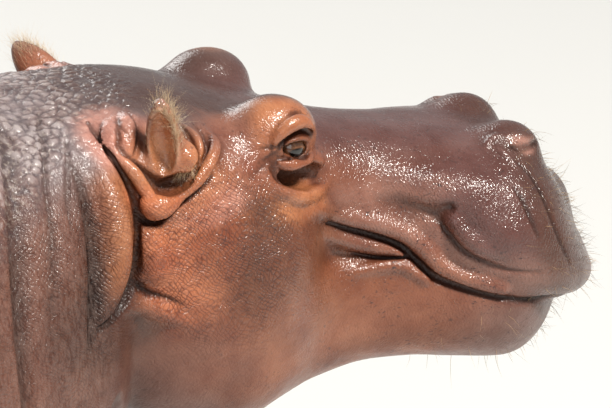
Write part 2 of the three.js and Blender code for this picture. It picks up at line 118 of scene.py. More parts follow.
def loft(sections, power_top, power_bottom):
    """Sections along X whose outline is a superellipse: |y/width|^n + |dz/reach|^n = 1."""
    top, bottom, width, middle = (curve(sections["x"], sections[key])
                                  for key in ("top", "bottom", "width", "middle"))

    def field(x, y, z):
        centre = middle(x)
        dz = z - centre
        half = width(x)
        above = dz > 0
        reach = np.where(above, top(x) - centre, centre - bottom(x))
        power = np.where(above, power_top, power_bottom)
        q = ((np.abs(y) / half) ** power + (np.abs(dz) / reach) ** power) ** (1 / power)
        q = np.maximum(q, 1e-4)
        return np.maximum(np.sqrt(y * y + dz * dz) * (1 - 1 / q), -np.minimum(half, reach))
    return field


def egg(place, half, pitch=0.0):
    """Ellipsoid of half sizes, turned about Y by pitch degrees: k0 (k0 - 1) / k1, close to the distance."""
    c, s = math.cos(math.radians(pitch)), math.sin(math.radians(pitch))

    def field(x, y, z):
        u = (x - place[0]) * c - (z - place[2]) * s
        v = y - place[1]
        w = (x - place[0]) * s + (z - place[2]) * c
        k0 = np.sqrt((u / half[0]) ** 2 + (v / half[1]) ** 2 + (w / half[2]) ** 2)
        k1 = np.sqrt((u / half[0] ** 2) ** 2 + (v / half[1] ** 2) ** 2 + (w / half[2] ** 2) ** 2)
        return k0 * (k0 - 1) / np.maximum(k1, 1e-6)
    return field


def limb(a, b, ra, rb):
    """Round limb from a to b: the distance to the line between, less a radius going from ra to rb."""
    a, b = np.array(a, float), np.array(b, float)
    run = b - a

    def field(x, y, z):
        t = held(((x - a[0]) * run[0] + (y - a[1]) * run[1] + (z - a[2]) * run[2]) / (run @ run))
        return np.sqrt((x - a[0] - t * run[0]) ** 2 + (y - a[1] - t * run[1]) ** 2
                       + (z - a[2] - t * run[2]) ** 2) - (ra + (rb - ra) * t)
    return field


def toe(foot, angle):
    """Where a toe starts and ends, fanned round the front of its foot, and its radius."""
    c, s = math.cos(math.radians(angle)) * foot["size"], math.sin(math.radians(angle)) * foot["size"]
    root = (foot["x"] + 5 * c, LEG_SPREAD + 6 * s, 9 * foot["size"])
    tip = (foot["x"] + 12.6 * c, LEG_SPREAD + 12.6 * s, 3.6 * foot["size"])
    return root, tip, 4.5 * foot["size"]


def foot_parts(foot):
    """A broad pad and its four toes."""
    s = foot["size"]
    toes = [toe(foot, angle) for angle in TOE_ANGLES]
    return [egg((foot["x"], LEG_SPREAD, 5.5), (14.5 * s, 13.5 * s, 10 * s))] + [
        limb(root, tip, 6 * s, radius) for root, tip, radius in toes]


def joined(k, fields, x, y, z):
    """Fields joined one after another with the same fillet."""
    d = fields[0](x, y, z)
    for field in fields[1:]:
        d = blend(d, field(x, y, z), k)
    return d


fore_bones = [limb((52, 29, 72), (45, LEG_SPREAD, 50), 18.5, 15.5),
              limb((45, LEG_SPREAD, 50), (50, LEG_SPREAD, 27), 15, 11.8),
              limb((50, LEG_SPREAD, 27), (51, LEG_SPREAD, 10), 11.5, 12.5)]
hind_bones = [limb((-86, 28, 80), (-74, 33.5, 58), 23, 17),
              limb((-74, 33.5, 58), (-93, LEG_SPREAD, 36), 16.5, 12),
              limb((-93, LEG_SPREAD, 36), (-90, LEG_SPREAD, 12), 11, 11.6)]
barrel = loft(TRUNK, 2.15, 2.15)
rump = egg((-101, 16, 94), (35, 27, 37))
thigh = egg((-84, 29, 73), (30, 19, 37))
shoulder = egg((55, 30, 86), (28, 17, 40))
skull = loft(SKULL, 2.4, 3)
jaw = loft(JAW, 2.3, 2.4)
cheek = egg((-13, 13, -18), (16, 9, 20))
brow = egg((-3.0, 11.2, 0.8), (7.0, 5.6, 6.0), -6)
lid_bag = egg((0.6, 12.6, -3.2), (4.4, 2.9, 2.4))
eye_ledge = egg((-0.5, 12.4, -9), (6.5, 3.6, 2.4), 14)
nostril = egg((36.3, 6.9, -8.4), (5, 4.2, 4.2))


def near(x, y, z, low, high):
    """Which points lie in a box."""
    return ((x > low[0]) & (x < high[0]) & (y > low[1]) & (y < high[1]) & (z > low[2]) & (z < high[2]))


def added(d, x, y, z, low, high, field, k):
    """A field blended in where its box is, so that the rest isn't worked out for nothing."""
    here = near(x, y, z, low, high)
    if here.any():
        d[here] = blend(d[here], field(x[here], y[here], z[here]), k)
    return d


def leg(bones, foot):
    """A leg with its foot."""
    return lambda *p: joined(6, bones + [lambda *q: joined(2.5, foot_parts(foot), *q)], *p)


def body(x, y, z):
    """Trunk, rump, thighs, shoulders and legs."""
    side = np.abs(y)
    d = trim(trim(barrel(x, y, z), -136 - x, 25), x - 106, 10)
    d = added(d, x, side, z, (-150, -1, 40), (-50, 70, 145), rump, 12)
    d = added(d, x, side, z, (-130, -1, 20), (-40, 70, 125), thigh, 10)
    d = added(d, x, side, z, (15, -1, 30), (95, 70, 140), shoulder, 12)
    d = added(d, x, side, z, (15, -1, -20), (90, 70, 105), leg(fore_bones, FORE_FOOT), 7)
    return added(d, x, side, z, (-125, -1, -20), (-40, 70, 118), leg(hind_bones, HIND_FOOT), 7)


def head(x, y, z):
    """Skull, muzzle and closed jaw with the masses of cheek, brow, lids and nostrils."""
    side = np.abs(y)
    muzzle_front = 0.91 * (x + 0.018 * y * y - 41.6) + 0.415 * (z + 6)
    chin_front = 0.96 * (x + 0.02 * y * y - 45.5) - 0.28 * (z + 28)
    d = trim(trim(skull(x, y, z), muzzle_front, 6), -38 - x, 6)
    d = blend(d, trim(trim(jaw(x, y, z), chin_front, 6), -27 - x, 8), 1.2)
    d = blend(d, cheek(x, side, z), 5)
    d = blend(d, brow(x, side, z), 3)
    d = blend(d, lid_bag(x, side, z), 1)
    d = blend(d, eye_ledge(x, side, z), 1.5)
    return blend(d, nostril(x, side, z), 3)


def animal(x, y, z):
    """The whole animal's form, without ears, tail and folds."""
    d = np.full(x.shape, 1e3)
    back, front = x < 122, x > 84
    d[back] = body(x[back], y[back], z[back])
    d[front] = blend(d[front], head(x[front] - HEAD[0], y[front], z[front] - HEAD[1]), 4)
    return d


def slope(field, p):
    """The field's slope at each point, from points a little to each side."""
    g = np.empty_like(p)
    for m in range(3):
        a, b = p.copy(), p.copy()
        a[m] += 0.04
        b[m] -= 0.04
        g[m] = (field(*a) - field(*b)) / 0.08
    return g


def laid(field, p, rounds, most):
    """Points moved along the slope until they lie on the surface: p - f * slope / slope squared."""
    for _ in range(rounds):
        g = slope(field, p)
        step = np.clip(field(*p) / np.maximum((g * g).sum(0), 0.05), -most, most)
        p = p - step * g
    return p


def flowing(points, per=5):
    """A smooth path through points, per steps from each to the next (Catmull-Rom)."""
    p = np.array(points, float)
    p = np.concatenate([2 * p[:1] - p[1:2], p, 2 * p[-1:] - p[-2:-1]])
    t = (np.arange(per) / per)[None, :, None]
    a, b, c, d = (p[i:len(p) - 3 + i, None, :] for i in range(4))
    line = 0.5 * (2 * b + (c - a) * t + (2 * a - 5 * b + 4 * c - d) * t**2 + (3 * b - a - 3 * c + d) * t**3)
    return np.concatenate([line.reshape(-1, p.shape[1]), p[-2:-1]])


def from_path(path, x, y, z):
    """Distance from each point to a path of short straight steps, and how far along it that is, 0 to 1."""
    best, along = np.full(x.shape, 1e9), np.zeros(x.shape)
    run = np.diff(path, axis=0)
    for i, (start, r) in enumerate(zip(path[:-1], run)):
        dx, dy, dz = x - start[0], y - start[1], z - start[2]
        t = held((dx * r[0] + dy * r[1] + dz * r[2]) / (r @ r))
        far = (dx - t * r[0]) ** 2 + (dy - t * r[1]) ** 2 + (dz - t * r[2]) ** 2
        closer = far < best
        best = np.where(closer, far, best)
        along = np.where(closer, (i + t) / len(run), along)
    return np.sqrt(best), along


# Folds of the hide, as paths on one side of the head: x, y and z from the middle of the eye line and the
# roll's or groove's own radius there. Then how far its middle stands off the hide, and how soft it joins it.
ROLLS = [
    ("strand behind the ear", [(-28.4, 15.6, 4.2, 0.3), (-27.4, 16.9, 2.9, 0.75), (-26.3, 17.8, 1.2, 1.0),
        (-25.4, 18.5, -0.3, 1.0), (-24.6, 19.1, -1.9, 1.0)], 0.45, 0.35),
    ("bulb below the ear", [(-25.2, 19.2, -2.1, 0.8), (-24.7, 19.5, -3.1, 1.5), (-23.4, 19.5, -3.5, 1.75),
        (-21.9, 19.5, -3.1, 1.55), (-20.2, 19.4, -2.4, 1.1), (-18.8, 19.1, -1.8, 0.7)], 0.85, 0.3),
    ("strand before the ear", [(-20.4, 19.4, -2.5, 0.9), (-18.6, 19.1, -1.7, 0.9), (-17.0, 18.7, -0.9, 0.9),
        (-15.5, 18.0, 0.2, 0.9), (-14.0, 17.0, 1.5, 0.85), (-13.1, 15.7, 2.5, 0.75), (-13.0, 14.4, 3.5, 0.5),
        (-13.6, 13.0, 4.6, 0.25)], 0.5, 0.3),
    ("lobe before the ear", [(-18.2, 14.8, 4.1, 0.5), (-18.1, 16.0, 2.9, 1.3), (-18.2, 17.0, 1.8, 1.7),
        (-18.6, 17.7, 0.9, 1.4)], 0.75, 0.3),
    ("fold before the lobe", [(-16.9, 12.4, 5.5, 0.2), (-16.2, 13.4, 4.7, 0.45), (-15.6, 14.8, 3.7, 0.6),
        (-15.6, 16.2, 2.5, 0.6), (-16.0, 17.4, 1.2, 0.3)], 0.3, 0.3),
    ("pillow behind the ear", [(-22.4, 11.0, 7.2, 0.7), (-24.2, 12.4, 6.5, 1.7), (-25.6, 14.2, 5.4, 2.0),
        (-26.2, 15.8, 4.0, 1.6), (-26.5, 17.0, 2.7, 0.7)], -0.4, 0.9),
    ("back of the pillow", [(-26.2, 11.2, 7.2, 0.6), (-27.4, 13.0, 6.2, 1.5), (-27.9, 14.8, 4.8, 1.6),
        (-27.8, 16.4, 3.4, 0.7)], -0.4, 0.9),
    ("roll of the neck", [(-31.6, 15.0, 4.6, 0.7), (-30.6, 17.6, 2.0, 1.5), (-30.2, 19.3, -0.8, 2.0),
        (-30.0, 20.2, -3.8, 2.3), (-30.1, 21.0, -6.9, 2.4), (-30.5, 21.8, -9.8, 2.3),
        (-31.3, 22.8, -12.4, 2.0), (-32.6, 24.0, -14.6, 1.5), (-34.2, 25.2, -16.8, 0.7)], -0.35, 1.0),
    ("roll behind it", [(-38.5, 22, 0, 1.0), (-38.4, 24, -4, 2.2), (-38.8, 26, -9, 2.6),
        (-39.8, 27.2, -14, 2.2), (-41.2, 28, -19, 1.0)], -2.0, 2.6),
    ("roll under the cheek", [(-28.6, 21.6, -17.2, 0.5), (-26.0, 20.7, -17.2, 1.1),
        (-23.8, 20.6, -18.2, 1.2), (-21.3, 21.0, -19.4, 0.9), (-18.6, 21.4, -21.0, 0.4)], -0.1, 1.0),
    ("bulge of the cheek's edge", [(-24.6, 19.6, -5.4, 1.2), (-24.3, 20.2, -9, 1.9),
        (-24.0, 20.5, -12.2, 1.7)], -0.6, 1.6),
    ("upper lid", [(-3.7, 16.8, 1.0, 0.25), (-2.8, 16.7, 1.55, 0.42), (-1.5, 16.5, 1.85, 0.48),
        (-0.2, 16.1, 1.75, 0.45), (0.7, 15.8, 1.25, 0.35), (1.1, 15.7, 0.6, 0.2)], 0.1, 0.2),
    ("lower lid", [(-3.7, 16.8, 1.0, 0.25), (-2.8, 16.8, 0.0, 0.42), (-1.4, 16.4, -0.8, 0.5),
        (0.0, 16.0, -0.7, 0.45), (1.0, 15.7, 0.4, 0.25)], 0.15, 0.2),
    ("hood of the upper lid", [(-5.4, 17.0, 0.6, 0.3), (-4.5, 16.8, 2.0, 0.7), (-3.2, 16.5, 3.2, 1.0),
        (-1.8, 16.2, 3.9, 1.15), (-0.4, 15.8, 4.0, 1.15), (0.9, 15.5, 3.4, 1.0), (1.8, 15.1, 2.2, 0.7),
        (2.1, 14.9, 1.0, 0.35)], 0.4, 0.5),
    ("bag under the eye", [(-4.5, 17.0, -0.8, 0.4), (-3.0, 16.8, -1.5, 0.95), (-1.3, 16.2, -2.0, 1.2),
        (0.4, 15.5, -2.1, 1.1), (1.6, 14.9, -1.6, 0.7), (2.2, 14.5, -0.6, 0.3)], 0.3, 0.4),
    ("ledge under the hollow", [(-6.2, 17.6, -2.0, 0.35), (-5.2, 17.9, -3.7, 0.75), (-3.6, 17.7, -5.3, 1.1),
        (-0.8, 16.5, -6.6, 1.3), (2.3, 14.6, -7.3, 1.2), (4.6, 12.9, -7.4, 0.9),
        (6.2, 12.1, -6.9, 0.4)], 0.1, 0.6),
    ("upper lip", [(3.5, 13.8, -10.2, 0.6), (7.0, 12.9, -12.0, 0.95), (10.5, 12.4, -13.4, 1.1),
        (14, 12.6, -14.6, 1.2), (17.4, 13.5, -16.2, 1.25), (19.8, 14.7, -18.6, 1.35),
        (21.8, 15.8, -21.0, 1.35), (25, 17.4, -22.8, 1.2), (30, 18.8, -24.6, 1.0)], 0.0, 1.0),
    ("lower lip", [(4.5, 13.4, -14.2, 0.6), (9.0, 12.4, -16.4, 1.0), (13.0, 12.4, -17.7, 1.1),
        (16.4, 13.2, -18.9, 0.8), (18.4, 14.2, -20.6, 0.6)], 0.0, 0.8),
    ("roll below the corner", [(9.5, 13.6, -20.5, 0.6), (13.0, 13.2, -20.6, 0.85), (16.5, 13.8, -20.8, 0.9),
        (19.6, 15.0, -22.8, 0.8)], 0.0, 0.8),
    ("lip in front of the crease", [(22.6, 15.0, -11.8, 0.8), (23.8, 15.9, -14.2, 1.2),
        (25.6, 17.1, -16.6, 1.4), (28, 18.3, -18.4, 1.2), (31, 19, -19.4, 0.6)], -0.1, 1.1),
    ("nostril's flap", [(35.4, 9.8, -5.2, 0.4), (37.3, 10.0, -5.7, 0.65),
        (39.4, 8.9, -6.2, 0.5)], -0.35, 0.9),
    ("first fold behind the nostril", [(31.2, 10.9, -6.6, 0.3), (32.2, 9.8, -5.8, 0.6),
        (33.4, 9.4, -5.3, 0.65), (34.7, 9.4, -5.2, 0.3)], -0.1, 0.4),
    ("second fold behind the nostril", [(32.4, 10.6, -6.3, 0.3), (33.2, 11.4, -6.8, 0.6),
        (34.0, 12.8, -7.6, 0.55), (34.6, 14.2, -8.9, 0.25)], -0.1, 0.4),
    ("ridge of the muzzle", [(14.8, 10.4, -6.4, 0.8), (17.4, 11.6, -7.8, 2.0), (20.8, 13.4, -9.3, 2.6),
        (24.8, 15.5, -10.0, 2.8), (28.4, 16.7, -10.6, 2.2), (31.5, 17.2, -11.0, 1.0)], -1.9, 2.6),
    ("bulge before the crease", [(25.4, 16.6, -12.4, 1.0), (27.8, 18.0, -14.0, 2.2),
        (29.8, 19.2, -16.4, 2.4), (31.0, 19.8, -19.0, 1.4)], -1.5, 2.0),
]
GROOVES = [
    ("line of the lips", [(5.0, 13.3, -12.4, 0.2), (8.1, 12.6, -14, 0.45), (12.5, 12.4, -15.9, 0.5),
        (16.6, 13.2, -17.9, 0.55), (18.8, 14.2, -20.2, 0.55), (20.9, 15.6, -22.4, 0.55),
        (24, 17, -23.9, 0.5), (28.5, 18.2, -25.6, 0.5), (34, 19, -27, 0.5), (39.5, 18, -27.6, 0.5),
        (43.5, 13, -27.6, 0.5), (46, 7, -27.6, 0.5), (46.6, 0, -27.6, 0.5)], 0.0, 0.5),
    ("crease of the lip's corner", [(13.6, 12.5, -15.6, 0.15), (15.4, 12.9, -15.6, 0.3),
        (17.4, 13.5, -15.8, 0.35), (19.2, 14.2, -16.8, 0.3), (20.3, 14.7, -18, 0.15)], 0.05, 0.4),
    ("crease below the corner", [(9.6, 12.3, -18.2, 0.1), (12.4, 12.5, -19.1, 0.28),
        (15.4, 13.2, -19.6, 0.32), (18.0, 13.9, -19.5, 0.25)], 0.05, 0.4),
    ("crease behind the lip's bulge", [(19.6, 13.8, -12.2, 0.15), (20.6, 14.4, -12.9, 0.35),
        (21.4, 14.9, -13.6, 0.5), (22.6, 15.8, -15.7, 0.5), (24.6, 17.2, -18.5, 0.5),
        (27.6, 18.7, -20.3, 0.4), (31, 19.4, -21.4, 0.3), (35, 20.2, -22.0, 0.15)], 0.1, 0.45),
    ("deep fold behind the cheek", [(-29.9, 11.4, 7.1, 0.15), (-29.6, 13.4, 6.0, 0.22),
        (-28.9, 15.9, 4.0, 0.28), (-27.9, 17.3, 2.1, 0.35), (-26.9, 18.6, -0.3, 0.5),
        (-26.4, 19.4, -2.5, 0.6), (-26.4, 19.9, -4.7, 0.5), (-26.6, 20.3, -7.6, 0.5),
        (-27.2, 20.7, -11.2, 0.95), (-28.1, 21.1, -13.6, 1.1), (-29.6, 22.0, -15.6, 0.9),
        (-31.9, 23.7, -16.7, 0.6), (-34.6, 25.6, -17.2, 0.3)], -0.1, 0.35),
    ("fold under the cheek", [(-27.9, 21.0, -13.4, 0.7), (-26.6, 20.8, -14.2, 0.7),
        (-25.4, 20.7, -15.2, 0.5), (-23.8, 20.8, -15.9, 0.4), (-22.0, 21.0, -16.7, 0.3),
        (-20.4, 21.2, -17.6, 0.15)], 0.05, 0.4),
    ("crease under the bulb", [(-26.3, 19.6, -3.6, 0.5), (-25.5, 19.8, -4.9, 0.6), (-24.4, 19.8, -5.4, 0.65),
        (-23.2, 19.8, -5.1, 0.65), (-22.0, 19.7, -4.4, 0.6), (-20.6, 19.5, -3.6, 0.5),
        (-18.7, 19.4, -2.9, 0.4), (-16.8, 19.0, -2.1, 0.3), (-14.9, 18.3, -0.8, 0.2)], 0.0, 0.4),
    ("hollow inside the ring", [(-25.6, 17.2, 2.4, 0.4), (-24.5, 17.9, 0.9, 0.8), (-23.2, 18.3, -0.5, 1.05),
        (-21.0, 18.6, -0.9, 1.1), (-18.9, 18.7, -0.6, 1.0), (-17.2, 18.3, 0.3, 0.7),
        (-16.6, 17.2, 1.6, 0.3)], 0.1, 0.4),
    ("shadow of the hood", [(-4.3, 17.0, 0.4, 0.2), (-3.7, 16.8, 1.5, 0.4), (-2.7, 16.7, 2.5, 0.5),
        (-1.3, 16.4, 3.0, 0.55), (0.1, 15.9, 2.9, 0.55), (1.3, 15.5, 2.1, 0.45),
        (1.8, 15.3, 1.0, 0.2)], 0.2, 0.3),
    ("crease beside the eye", [(-4.9, 16.9, 1.6, 0.12), (-5.0, 17.1, -0.6, 0.25), (-4.7, 17.3, -2.4, 0.4),
        (-4.2, 17.4, -3.6, 0.35), (-3.9, 17.5, -4.4, 0.15)], 0.05, 0.3),
    ("crease behind the eye", [(-9.0, 18.6, -2.0, 0.15), (-6.8, 18.0, -1.0, 0.25),
        (-4.6, 17.2, -0.2, 0.3)], 0.05, 0.4),
    ("hollow under the ridge", [(14.0, 12.4, -11.0, 0.3), (16.6, 13.0, -11.9, 0.9), (19.0, 13.8, -12.8, 1.0),
        (21.2, 14.6, -13.0, 0.8), (23.2, 15.4, -12.4, 0.4)], 0.5, 1.6),
]
# Thin creases, laid over the rolls.
CREASES = [
    ("second fold", [(-34.6, 17.4, 3.0, 0.15), (-34.2, 19.0, 1.0, 0.35), (-34.0, 20.7, -1.6, 0.6),
        (-33.9, 22.0, -4.6, 0.85), (-34.1, 23.2, -7.6, 1.1), (-34.5, 24.2, -10.6, 1.3),
        (-35.0, 25.4, -13.6, 1.3), (-35.8, 26.4, -17, 0.8), (-36.7, 26.8, -19.5, 0.3)], 0.1, 0.8),
    ("first crease of the front", [(32.6, 17.2, -10.4, 0.12), (33.3, 18.4, -12.0, 0.3),
        (34.0, 19.8, -14.6, 0.3), (34.8, 20.5, -17.0, 0.12)], 0.0, 0.5),
    ("second crease of the front", [(35.3, 13.4, -8.2, 0.12), (36.6, 15.1, -10.1, 0.3),
        (37.4, 17.4, -12.8, 0.35), (38.0, 18.9, -15.5, 0.3), (39.1, 19.5, -18.7, 0.3),
        (40.6, 19.5, -22.0, 0.12)], 0.0, 0.5),
    ("first crease of the pillow", [(-28.2, 12.4, 6.5, 0.1), (-28.8, 14.0, 5.4, 0.25),
        (-28.6, 15.6, 4.1, 0.25), (-27.8, 16.9, 2.8, 0.1)], 0.0, 0.4),
    ("second crease of the pillow", [(-26.0, 11.8, 6.9, 0.1), (-26.9, 13.6, 5.8, 0.28),
        (-26.9, 15.4, 4.4, 0.3), (-26.7, 16.9, 2.8, 0.15)], 0.0, 0.4),
    ("third crease of the pillow", [(-23.8, 11.2, 7.0, 0.1), (-24.6, 13.0, 6.1, 0.22),
        (-25.2, 14.8, 4.9, 0.28), (-25.6, 16.4, 3.3, 0.1)], 0.0, 0.35),
    ("fourth crease of the pillow", [(-25.2, 12.4, 6.5, 0.1), (-25.7, 13.8, 5.7, 0.2),
        (-25.9, 15.2, 4.6, 0.1)], 0.05, 0.3),
    ("crease above the bulb", [(-25.7, 18.9, -1.6, 0.1), (-24.6, 19.2, -2.0, 0.3), (-23.4, 19.0, -1.9, 0.3),
        (-22.4, 18.9, -1.6, 0.1)], 0.0, 0.3),
    ("line below the lower lid", [(-4.6, 16.9, 0.4, 0.1), (-3.2, 16.8, -1.0, 0.25), (-1.4, 16.3, -1.5, 0.25),
        (0.2, 15.8, -1.4, 0.25), (1.4, 15.3, -0.7, 0.1)], 0.0, 0.3),
    ("upper wrinkle of the corner", [(-4.1, 16.9, 1.2, 0.1), (-5.3, 17.0, 1.3, 0.2),
        (-6.6, 17.0, 1.6, 0.1)], 0.0, 0.3),
    ("middle wrinkle of the corner", [(-4.2, 16.9, 0.5, 0.1), (-5.6, 17.1, 0.0, 0.22),
        (-7.2, 17.6, -0.4, 0.1)], 0.0, 0.3),
    ("lower wrinkle of the corner", [(-4.0, 17.0, -0.2, 0.1), (-4.8, 17.1, -1.0, 0.22),
        (-5.2, 17.3, -1.9, 0.1)], 0.0, 0.3),
    ("fold of the brow", [(-2.4, 15.8, 5.3, 0.1), (-1.2, 15.3, 5.6, 0.35), (-0.1, 14.9, 5.4, 0.45),
        (0.8, 14.8, 4.9, 0.35), (1.5, 14.7, 4.2, 0.1)], 0.1, 0.5),
    ("outer crease before the ear", [(-14.6, 12.8, 5.0, 0.1), (-14.2, 14.8, 3.6, 0.25),
        (-14.6, 16.6, 1.9, 0.25), (-15.8, 17.9, 0.4, 0.1)], 0.0, 0.3),
    ("inner crease before the ear", [(-16.9, 13.4, 5.0, 0.1), (-16.6, 15.0, 3.7, 0.25),
        (-16.6, 16.4, 2.4, 0.1)], 0.0, 0.3),
    ("first wrinkle of the neck", [(-36.5, 10, 8, 0.1), (-38, 16, 5, 0.3), (-39.5, 20.5, 1.5, 0.35),
        (-40.5, 24, -3, 0.35), (-41.4, 26.6, -8, 0.3), (-42.6, 28.2, -13, 0.1)], 0.0, 0.6),
    ("second wrinkle of the neck", [(-43, 12, 8, 0.1), (-45, 19, 4, 0.3), (-46.4, 24, -1, 0.35),
        (-47.4, 27.4, -6, 0.3), (-48.4, 29.4, -12, 0.1)], 0.0, 0.6),
    ("short wrinkle of the neck", [(-34.0, 14, 6, 0.1), (-35.4, 17.6, 3, 0.25), (-36.6, 20.4, 0, 0.25),
        (-37.4, 22.6, -3.4, 0.1)], 0.0, 0.5),
]


# Folds of the body, in the animal's own measure: at the throat, shoulders, elbows, flanks, hams and legs.
BODY_FOLDS = [
    ("first fold of the throat", [(104, 0, 76, 1.6), (103, 8, 78, 1.6), (101, 15, 84, 1.3),
        (99, 20, 92, 0.6)], 0.0, 2.5),
    ("second fold of the throat", [(96, 0, 69, 1.6), (94.5, 10, 72, 1.6), (92, 18, 79, 1.3),
        (90, 24, 88, 0.6)], 0.0, 2.5),
    ("first fold of the neck's side", [(90, 12, 131, 0.4), (87, 24, 122, 0.9), (84, 32, 108, 1.1),
        (82, 34, 94, 0.9), (82, 30, 80, 0.4)], 0.0, 2.0),
    ("second fold of the neck's side", [(78, 14, 136, 0.4), (74, 28, 126, 1.0), (71, 37, 110, 1.2),
        (70, 38, 94, 1.0), (71, 33, 78, 0.4)], 0.0, 2.2),
    ("fold before the shoulder", [(66, 42, 84, 0.4), (64, 42, 70, 1.2), (64, 36, 58, 1.6), (66, 26, 50, 1.2),
        (66, 14, 46, 0.5)], 0.0, 2.4),
    ("fold behind the elbow", [(22, 50, 82, 0.4), (25, 48, 66, 1.2), (29, 44, 54, 1.8), (33, 34, 46, 1.8),
        (34, 22, 42, 0.8)], 0.0, 2.4),
    ("crease of the elbow", [(60, 32, 46, 0.2), (62, 38, 41, 0.7), (56, 46, 37, 0.8), (46, 48, 36, 0.6),
        (38, 44, 37, 0.2)], 0.1, 1.8),
    ("crease above the fore foot", [(60, 22, 22, 0.2), (63, 34, 20, 0.7), (58, 42, 19, 0.8),
        (47, 45, 19, 0.6), (39, 40, 20, 0.2)], 0.1, 1.6),
    ("crease of the fore foot", [(64, 25, 15.5, 0.2), (65, 34, 14, 0.55), (60, 43, 13.5, 0.65),
        (48, 46, 14, 0.4), (41, 42, 15, 0.15)], 0.1, 1.4),
    ("fold of the flank", [(-46, 50, 96, 0.4), (-50, 50, 80, 1.2), (-55, 48, 66, 1.6), (-59, 40, 52, 1.6),
        (-62, 28, 44, 0.8)], 0.0, 2.6),
    ("second fold of the flank", [(-56, 51, 88, 0.4), (-60, 51, 74, 1.0), (-64, 48, 62, 1.1),
        (-67, 42, 53, 0.5)], 0.0, 2.0),
    ("fold of the ham", [(-119, 8, 102, 0.4), (-123, 13, 92, 1.1), (-121, 18, 78, 1.3), (-114, 22, 64, 1.0),
        (-108, 24, 54, 0.4)], 0.0, 2.0),
    ("crease of the knee", [(-76, 42, 47, 0.4), (-79, 44, 42, 0.9), (-86, 45, 38, 0.9),
        (-95, 43, 36, 0.5)], 0.0, 1.4),
    ("crease of the hock", [(-79, 36, 30, 0.4), (-82, 42, 28, 0.8), (-90, 44, 27, 0.9),
        (-99, 42, 28, 0.5)], 0.0, 1.2),
    ("crease of the hind foot", [(-78, 34, 16, 0.4), (-80, 41, 15, 0.8), (-88, 44, 14.5, 0.8),
        (-98, 42, 15, 0.4)], 0.0, 1.0),
]


def on_head(points):
    """Points of one side of the head, in the animal's own measure."""
    return np.array(points, float) + np.array([HEAD[0], 0, HEAD[1]])


fold_paths = {}


def swell(path, radii, soft, inward):
    """Blends a tube along a path into the hide, or takes it out; its radius follows the path's own radii."""
    low, high = path.min(0) - radii.max() - 2 * soft, path.max(0) + radii.max() + 2 * soft
    steps = np.linspace(0, 1, len(radii))

    def shaped(d, x, y, z):
        here = near(x, y, z, low, high)
        if here.any():
            far, along = from_path(path, x[here], y[here], z[here])
            tube = far - np.interp(along, steps, radii)
            d[here] = trim(d[here], -tube, soft) if inward else blend(d[here], tube, soft)
        return d
    return shaped


def fold(form, name, points, lift, soft, inward=False, place=on_head):
    """A fold with its path laid on a form and lifted off along its slope; a roll sinks away where thin."""
    line = flowing(points, 4)
    p = laid(form, place(line[:, :3]).T, 6, 1.5)
    g = slope(form, p)
    radii = line[:, 3]
    full = radii / radii.max()
    lift = lift if inward else lift * full - 0.8 * radii.max() * (1 - full)
    up_there = g / np.sqrt((g * g).sum(0))
    line = (p + lift * up_there).T
    fold_paths[name] = (p + (lift - 0.55 * radii * inward) * up_there).T, full
    return swell(line, radii, soft, inward)


folds = [fold(animal, *row) for row in ROLLS]
folds += [fold(animal, *row, inward=True) for row in GROOVES]
folds += [fold(animal, *row, inward=True, place=np.array) for row in BODY_FOLDS]


def folded(x, y, z):
    """The animal's form with its rolls and grooves, on one side."""
    d = animal(x, y, z)
    for shape in folds:
        d = shape(d, x, y, z)
    return d


folds += [fold(folded, *row, inward=True) for row in CREASES]
eye_opening = egg(on_head((-1.2, 17.4, 0.45)), (2.1, 3.2, 1.12), 8)
eye_socket = egg(on_head(EYEBALL_AT), (2.2, 2.2, 2.2))
under_eye = egg(on_head((0.3, 15.4, -3.95)), (4.9, 3.1, 1.85), 13)
ear_pit = egg(on_head((-20.6, 19.2, -0.9)), (2.6, 2.2, 1.1), -14)
nostril_slit = on_head(flowing([(34.8, 11.2, -6.3), (36.5, 11.4, -6.8), (38.5, 10.8, -7.0),
                                (40.2, 9.4, -7.0)]))


def turned(side):
    """The ear's own axes in the animal's, as columns: yaw about Z, then back about Y, then out about X."""
    pose = EAR_POSE[side]
    a, b, c = (math.radians(-angle) for angle in (side * pose["out"], pose["back"], side * pose["yaw"]))
    rx = np.array([[1, 0, 0], [0, math.cos(a), -math.sin(a)], [0, math.sin(a), math.cos(a)]])
    ry = np.array([[math.cos(b), 0, math.sin(b)], [0, 1, 0], [-math.sin(b), 0, math.cos(b)]])
    rz = np.array([[math.cos(c), -math.sin(c), 0], [math.sin(c), math.cos(c), 0], [0, 0, 1]])
    return rx @ ry @ rz


def leaf_radius(t):
    """Half width of the ear's outline along its length: root of t times (1 - t)^0.6, 1 at its widest."""
    s = held(t)
    return np.sqrt(s) * (1 - s) ** 0.6 / 0.474 - 2 * np.abs(t - s)


def ear(side):
    """Leaf-shaped cup on one side: an outer leaf with a narrower one taken out of its back."""
    axes = turned(side)
    base = on_head(EAR["base"]) * (1, side, 1)
    thick, wide, length, wall = EAR["thick"], EAR_POSE[side]["wide"], EAR["length"], EAR["wall"]

    def field(x, y, z):
        u, v, w = (axes[0, m] * (x - base[0]) + axes[1, m] * (y - base[1]) + axes[2, m] * (z - base[2])
                   for m in range(3))
        outer = (np.sqrt((u / thick) ** 2 + (v / wide) ** 2) - leaf_radius(w / length)) * 0.8 * thick
        inner = (np.sqrt((u / thick + 0.62) ** 2 + (v / (wide - wall)) ** 2)
                 - leaf_radius((w - 2.2) / (length - 3.2))) * 0.8 * thick
        return trim(outer, -inner, 0.35)
    return field


ears = {side: ear(side) for side in (1, -1)}


